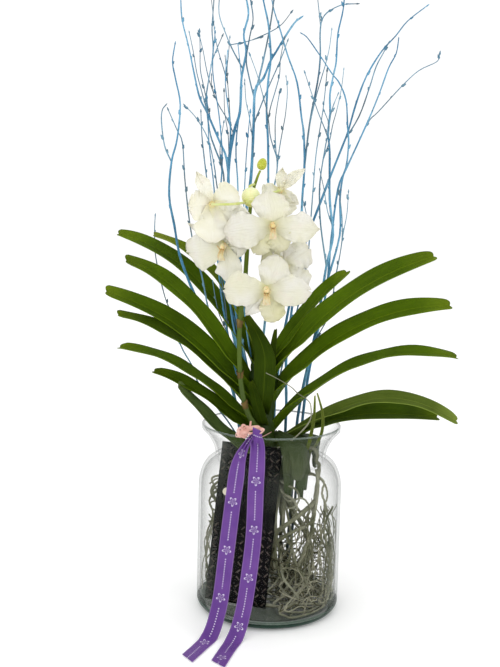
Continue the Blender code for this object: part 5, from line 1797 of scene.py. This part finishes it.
blue_paint = painted(
    "blue_paint",
    screen(58, 112, 146),
    screen(92, 152, 186),
    screen(132, 186, 214),
    0.15,
)
thin_paint = painted(
    "thin_blue_paint",
    screen(70, 104, 126),
    screen(98, 138, 160),
    screen(134, 172, 192),
    0.65,
)
draw = random.Random(4)
for name, shoots in BRANCHES.items():
    rim_x = shoots[0][4][0][0]
    rim_y = shoots[0][0]
    foot_x = FOOT_CENTRE[0] + (rim_x - FOOT_CENTRE[0]) * FOOT_GATHER
    foot_y = FOOT_CENTRE[1] + (rim_y - FOOT_CENTRE[1]) * FOOT_GATHER
    foot = Vector((foot_x * MM, foot_y * MM, ON_VASE_FLOOR + 0.0004))
    grown = []
    shoot_lines = []
    for count, (rim_depth, lean, thick, thin, points) in enumerate(shoots):
        points = in_metres([(x, rim_depth + lean * (z - RIM), z) for x, z in points])
        if count == 0:
            points = [foot, foot.lerp(points[0], 0.5)] + points
        else:
            points[0] = nearest_on(grown, points[0])
        grown += points
        steps = 4 * (len(points) - 1)
        line = rounded_route(points, steps)
        thickness = tapered(len(line), thick * SHOOT_THINNING, thin * SHOOT_THINNING)
        shoot_lines.append((line, [radius * MM * draw.uniform(0.88, 1.10) for radius in thickness]))
    for thick, points in FRONT_SHOOTS.get(name, []):
        line = rounded_route(in_metres(points), 4 * (len(points) - 1))
        shoot_lines.append((line, [radius * MM for radius in tapered(len(line), thick, FRONT_SHOOT_TIP)]))
    parents = [line for line, _ in shoot_lines]
    for _ in range(SIDE_SHOOTS[name]):
        line = rounded_route(side_shoot(parents, draw), 24)
        shoot_lines.append((line, tapered(len(line), *SIDE_SHOOT_RADII)))
    stout = [shoot for shoot in shoot_lines if shoot[1][0] > SLENDER * MM]
    slender = [shoot for shoot in shoot_lines if shoot[1][0] <= SLENDER * MM]
    for lines, finish, kind in ((stout, blue_paint, "shoots"), (slender, thin_paint, "twigs")):
        if lines:
            bm = tubes(lines, 8)
            for line, _ in lines:
                add_buds(bm, line, draw)
            add_piece(f"birch_{kind}_{name}", bm, finish, "blue_paint", f"birch_branch_{name}")


# Ribbon: one length of purple satin ribbon, doubled at the tie, so both tails fall over the rim's front,
# down past the glass and out over the floor. Fine weave along, woven edges, a plain white printed sprig.
LEFT_TAIL = [
    (-24, -98.5, 255),
    (-32, -100.5, 245),
    (-41, -102, 224),
    (-46, -103, 189),
    (-53, -104, 123),
    (-60, -105.5, 52),
    (-65, -109, 25),
    (-70, -115, 9),
    (-75, -124, 2),
    (-81, -136, 0.7),
    (-89, -154, 0.7),
    (-97, -172, 0.7),
]
RIGHT_TAIL = [
    (-23, -98.9, 255),
    (-19, -101.5, 243),
    (-19, -104, 220),
    (-20, -106, 190),
    (-21.5, -107, 124),
    (-29, -108.5, 52),
    (-34, -113, 25),
    (-39, -120, 9),
    (-44, -130, 2),
    (-49, -144, 0.7),
    (-55, -165, 0.7),
    (-60, -184, 0.7),
]
RIBBON_WIDTH = 0.020
RIBBON_LOWEST = 0.0003
RIBBON_SLANT = 0.006
RIBBON_THICKNESS = 0.0004
LANDED_BELOW = 0.004
FOLD_THICKNESS = 0.0012
WEFT_PITCH = 0.0006
WARP_PITCH = 0.0009
SPRIG_PITCH = 0.062
SPRIG_REACH = 0.0062
DOT_PITCH = 0.0016

# Each tail: its route, its turn on the floor, how far it is gathered at the tie and over what share of its
# length it opens, where its waves start, and how far on its pattern starts
TAILS = {
    "left": (LEFT_TAIL, 0.45, 0.26, 0.19, 0.6, 0.004),
    "right": (RIGHT_TAIL, 0.38, 0.80, 0.14, 2.4, 0.036),
}


def by_length(route, steps=400):
    """The route as points evenly spaced by length, and its length."""
    line = rounded_route(in_metres(route), steps)
    for point in line:
        point.z = max(point.z, RIBBON_LOWEST)
    reached = [0.0]
    for start, end in zip(line[:-1], line[1:]):
        reached.append(reached[-1] + (end - start).length)
    even = []
    at = 0
    for step in range(steps + 1):
        wanted = reached[-1] * step / steps
        while at < len(line) - 2 and reached[at + 1] < wanted:
            at += 1
        share = (wanted - reached[at]) / (reached[at + 1] - reached[at])
        even.append(line[at].lerp(line[at + 1], share))
    return even, reached[-1]


def tail_surface(route, turn_on_floor, gathered, opened, phase):
    """The place(t, u) of one tail: gathered at the tie, then flat, and bent where it meets the floor."""
    points, length = by_length(route)
    landing = next(step for step, point in enumerate(points) if point.z < LANDED_BELOW) / (len(points) - 1)

    def place(t, u):
        ahead = (along(points, t + 0.01) - along(points, t - 0.01)).normalized()
        on_floor = min(max((t - landing + 0.10) / 0.16, 0.0), 1.0)
        on_floor = on_floor**2 * (3 - 2 * on_floor)
        level = Vector((1, -0.12, 0)).lerp(Vector((1, turn_on_floor, 0)), on_floor)
        side = (level - ahead * level.dot(ahead)).normalized()
        open_out = math.sin(math.pi / 2 * min(t / opened, 1.0)) ** 1.5
        width = RIBBON_WIDTH / 2 * (gathered + (1 - gathered) * open_out)
        slant = ahead * RIBBON_SLANT * u * max(t - 0.97, 0.0) / 0.03
        face = ahead.cross(side)
        pleat = 0.0024 * (1 - open_out) * math.cos(2.5 * math.pi * u + phase)
        cup = 0.0011 * math.sin(11 * t + phase) * (u * u - 0.4) * (1 - on_floor)
        wave = 0.0007 * math.sin(23 * t + 2 * phase) * u * (1 - on_floor)
        laid = along(points, t) + side * u * width + slant + face * (pleat + cup + wave)
        laid.z = max(laid.z, RIBBON_LOWEST)
        return laid

    return place


def fold_surface(t, u):
    """The ribbon's fold above the tie, from its left edge to its right."""
    bow = 0.003 * math.sin(math.pi * t)
    return Vector((-0.0250 + 0.011 * t, -0.0984 - bow, 0.2565 + 0.009 * u - 0.004 * t))


def distance(finish, one, other):
    """How far a place is from a point, from its distances along and across."""
    one_squared = reckon(finish, "POWER", one, 2.0)
    return reckon(finish, "SQRT", plus(finish, one_squared, reckon(finish, "POWER", other, 2.0)))


def satin_finish(name, length, first_sprig):
    """Purple satin for a tail of this length: fine weft lines, woven edges and a white sprig now and then."""
    finish = new_finish(name, 0.40, Specular_IOR_Level=0.20, Sheen_Weight=0.08, Sheen_Roughness=0.35,
                        Anisotropic=0.5)
    down = times(finish, own_axis(finish, "UV", "X"), length)
    over = times(finish, reckon(finish, "SUBTRACT", own_axis(finish, "UV", "Y"), 0.5), RIBBON_WIDTH)
    weft = reckon(finish, "SINE", times(finish, down, 2 * math.pi / WEFT_PITCH))
    warp = reckon(finish, "SINE", times(finish, over, 2 * math.pi / WARP_PITCH))
    shade = cloud(finish, 40.0)
    base = colours(finish, shade, (0.30, screen(92, 52, 132)), (0.70, screen(108, 66, 145)))
    thread = times(finish, plus(finish, weft, 1.0), 0.08)
    base = mingle(finish, thread, base, screen(134, 98, 174))
    off_middle = reckon(finish, "ABSOLUTE", over)
    selvedge = shift(finish, off_middle, 0.0088, 0.0093, 0.0, 0.55)
    base = mingle(finish, selvedge, base, screen(150, 118, 178))
    place = reckon(finish, "MODULO", plus(finish, down, first_sprig), SPRIG_PITCH)
    place = reckon(finish, "SUBTRACT", place, SPRIG_PITCH / 2)
    off_sprig = reckon(finish, "ABSOLUTE", place)
    angle = reckon(finish, "ARCTAN2", over, place)
    petals = reckon(finish, "ABSOLUTE", reckon(finish, "COSINE", times(finish, angle, 2.5)))
    reach = distance(finish, off_sprig, off_middle)
    rosette = reckon(finish, "SUBTRACT", times(finish, petals, SPRIG_REACH), reach)
    filled = shift(finish, rosette, 0.0, 0.0003, 0.0, 1.0)
    hollow = shift(finish, rosette, 0.0012, 0.0015, 1.0, 0.0)
    motif = times(finish, filled, hollow)
    dot = distance(finish, reckon(finish, "PINGPONG", down, DOT_PITCH), off_middle)
    between = shift(finish, off_sprig, 0.0115, 0.0118, 0.0, 1.0)
    dots = times(finish, shift(finish, dot, 0.0006, 0.0009, 1.0, 0.0), between)
    printed = times(finish, reckon(finish, "MAXIMUM", motif, dots), 0.9)
    feed(finish, "Base Color", mingle(finish, printed, base, screen(232, 226, 240)))
    relief(finish, plus(finish, weft, warp), 0.00004)
    return finish


for side, (route, turn_on_floor, gathered, opened, phase, first_sprig) in TAILS.items():
    length = by_length(route)[1]
    tail = add_piece(
        f"ribbon_{side}_tail",
        laid_grid(150, 12, tail_surface(route, turn_on_floor, gathered, opened, phase)),
        satin_finish(f"satin_{side}", length, first_sprig),
        "purple_satin",
        "satin_ribbon",
    )
    thicken(tail, RIBBON_THICKNESS)
fold = add_piece(
    "ribbon_fold",
    laid_grid(16, 12, fold_surface),
    satin_finish("satin_fold", 0.018, 0.0),
    "purple_satin",
    "satin_ribbon",
)
thicken(fold, FOLD_THICKNESS)


# Raffia tie: salmon pink raffia, knotted in small puffy loops round the ribbon on the rim's front, with a
# short end that stands up. One strand is led back over the rim to the plant's stem.
TIE_CENTRE = Vector((-35, -94.5, 258.5)) * MM
TIE_LOOPS = [(55, 0.0085), (105, 0.0090), (155, 0.0100), (203, 0.0105), (250, 0.0070)]
OVER_FOLD = [(8, 0.0230), (20, 0.0190)]
LED_BACK = [
    (-34, -94, 257),
    (-34, -88, 252.5),
    (-33, -80, 251.5),
    (-27, -64, 244),
    (-13, -34, 238),
    (0, -5, 238),
]
END_UP = [(-33, -95, 259), (-29, -96, 265), (-28, -97, 272)]
STRANDS_IN_LOOP = 6
STRAND_RADIUS = 0.00065
STRAND_UNEVEN = 0.0002
END_RADII = (0.0008, 0.0005)
KNOT_SIZE = (0.0040, 0.0040, 0.0056)

raffia = new_finish("salmon_raffia", 0.65, Specular_IOR_Level=0.25)
raffia_cloud = cloud(raffia, 180.0, detail=4.0)
tint(
    raffia,
    raffia_cloud,
    (0.30, screen(204, 150, 138)),
    (0.50, screen(220, 172, 160)),
    (0.72, screen(240, 202, 190)),
)
relief(raffia, cloud(raffia, 700.0, (1, 1, 0.4), 3.0), 0.0006)
draw = random.Random(8)
strands = []
for turn, reach in TIE_LOOPS + OVER_FOLD:
    out = Vector((math.cos(math.radians(turn)), -0.3, math.sin(math.radians(turn))))
    across = Vector((-out.z, 0, out.x))
    for _ in range(STRANDS_IN_LOOP):
        wide = draw.uniform(0.0026, 0.0042)
        far = reach * draw.uniform(0.85, 1.05)
        off = Vector([draw.uniform(-0.0010, 0.0010) for _ in range(3)])
        ring = []
        for angle in (-150, -110, -70, -30, 10, 50, 90, 130, 165):
            bend = math.radians(angle)
            spot = TIE_CENTRE + off + out * far * (0.5 + 0.5 * math.cos(bend))
            ring.append(spot + across * wide * math.sin(bend))
        line = rounded_route(ring, 28)
        radii = [STRAND_RADIUS + STRAND_UNEVEN * math.sin(step * 0.9) for step in range(len(line))]
        strands.append((line, radii))
for route, count, spread in ((LED_BACK, 2, 0.0004), (END_UP, 4, 0.0007)):
    for _ in range(count):
        off = Vector([draw.uniform(-spread, spread) for _ in range(3)])
        line = [point + off for point in rounded_route(in_metres(route), 24)]
        strands.append((line, tapered(len(line), *END_RADII)))
bm = tubes(strands, 8)
knot_turn = Vector((1, 0, 0.2)).to_track_quat("Z", "Y").to_matrix()
add_ball(bm, TIE_CENTRE, knot_turn, KNOT_SIZE, 18, 12)
add_piece("raffia_knot", bm, raffia, "pink_raffia", "raffia_tie")
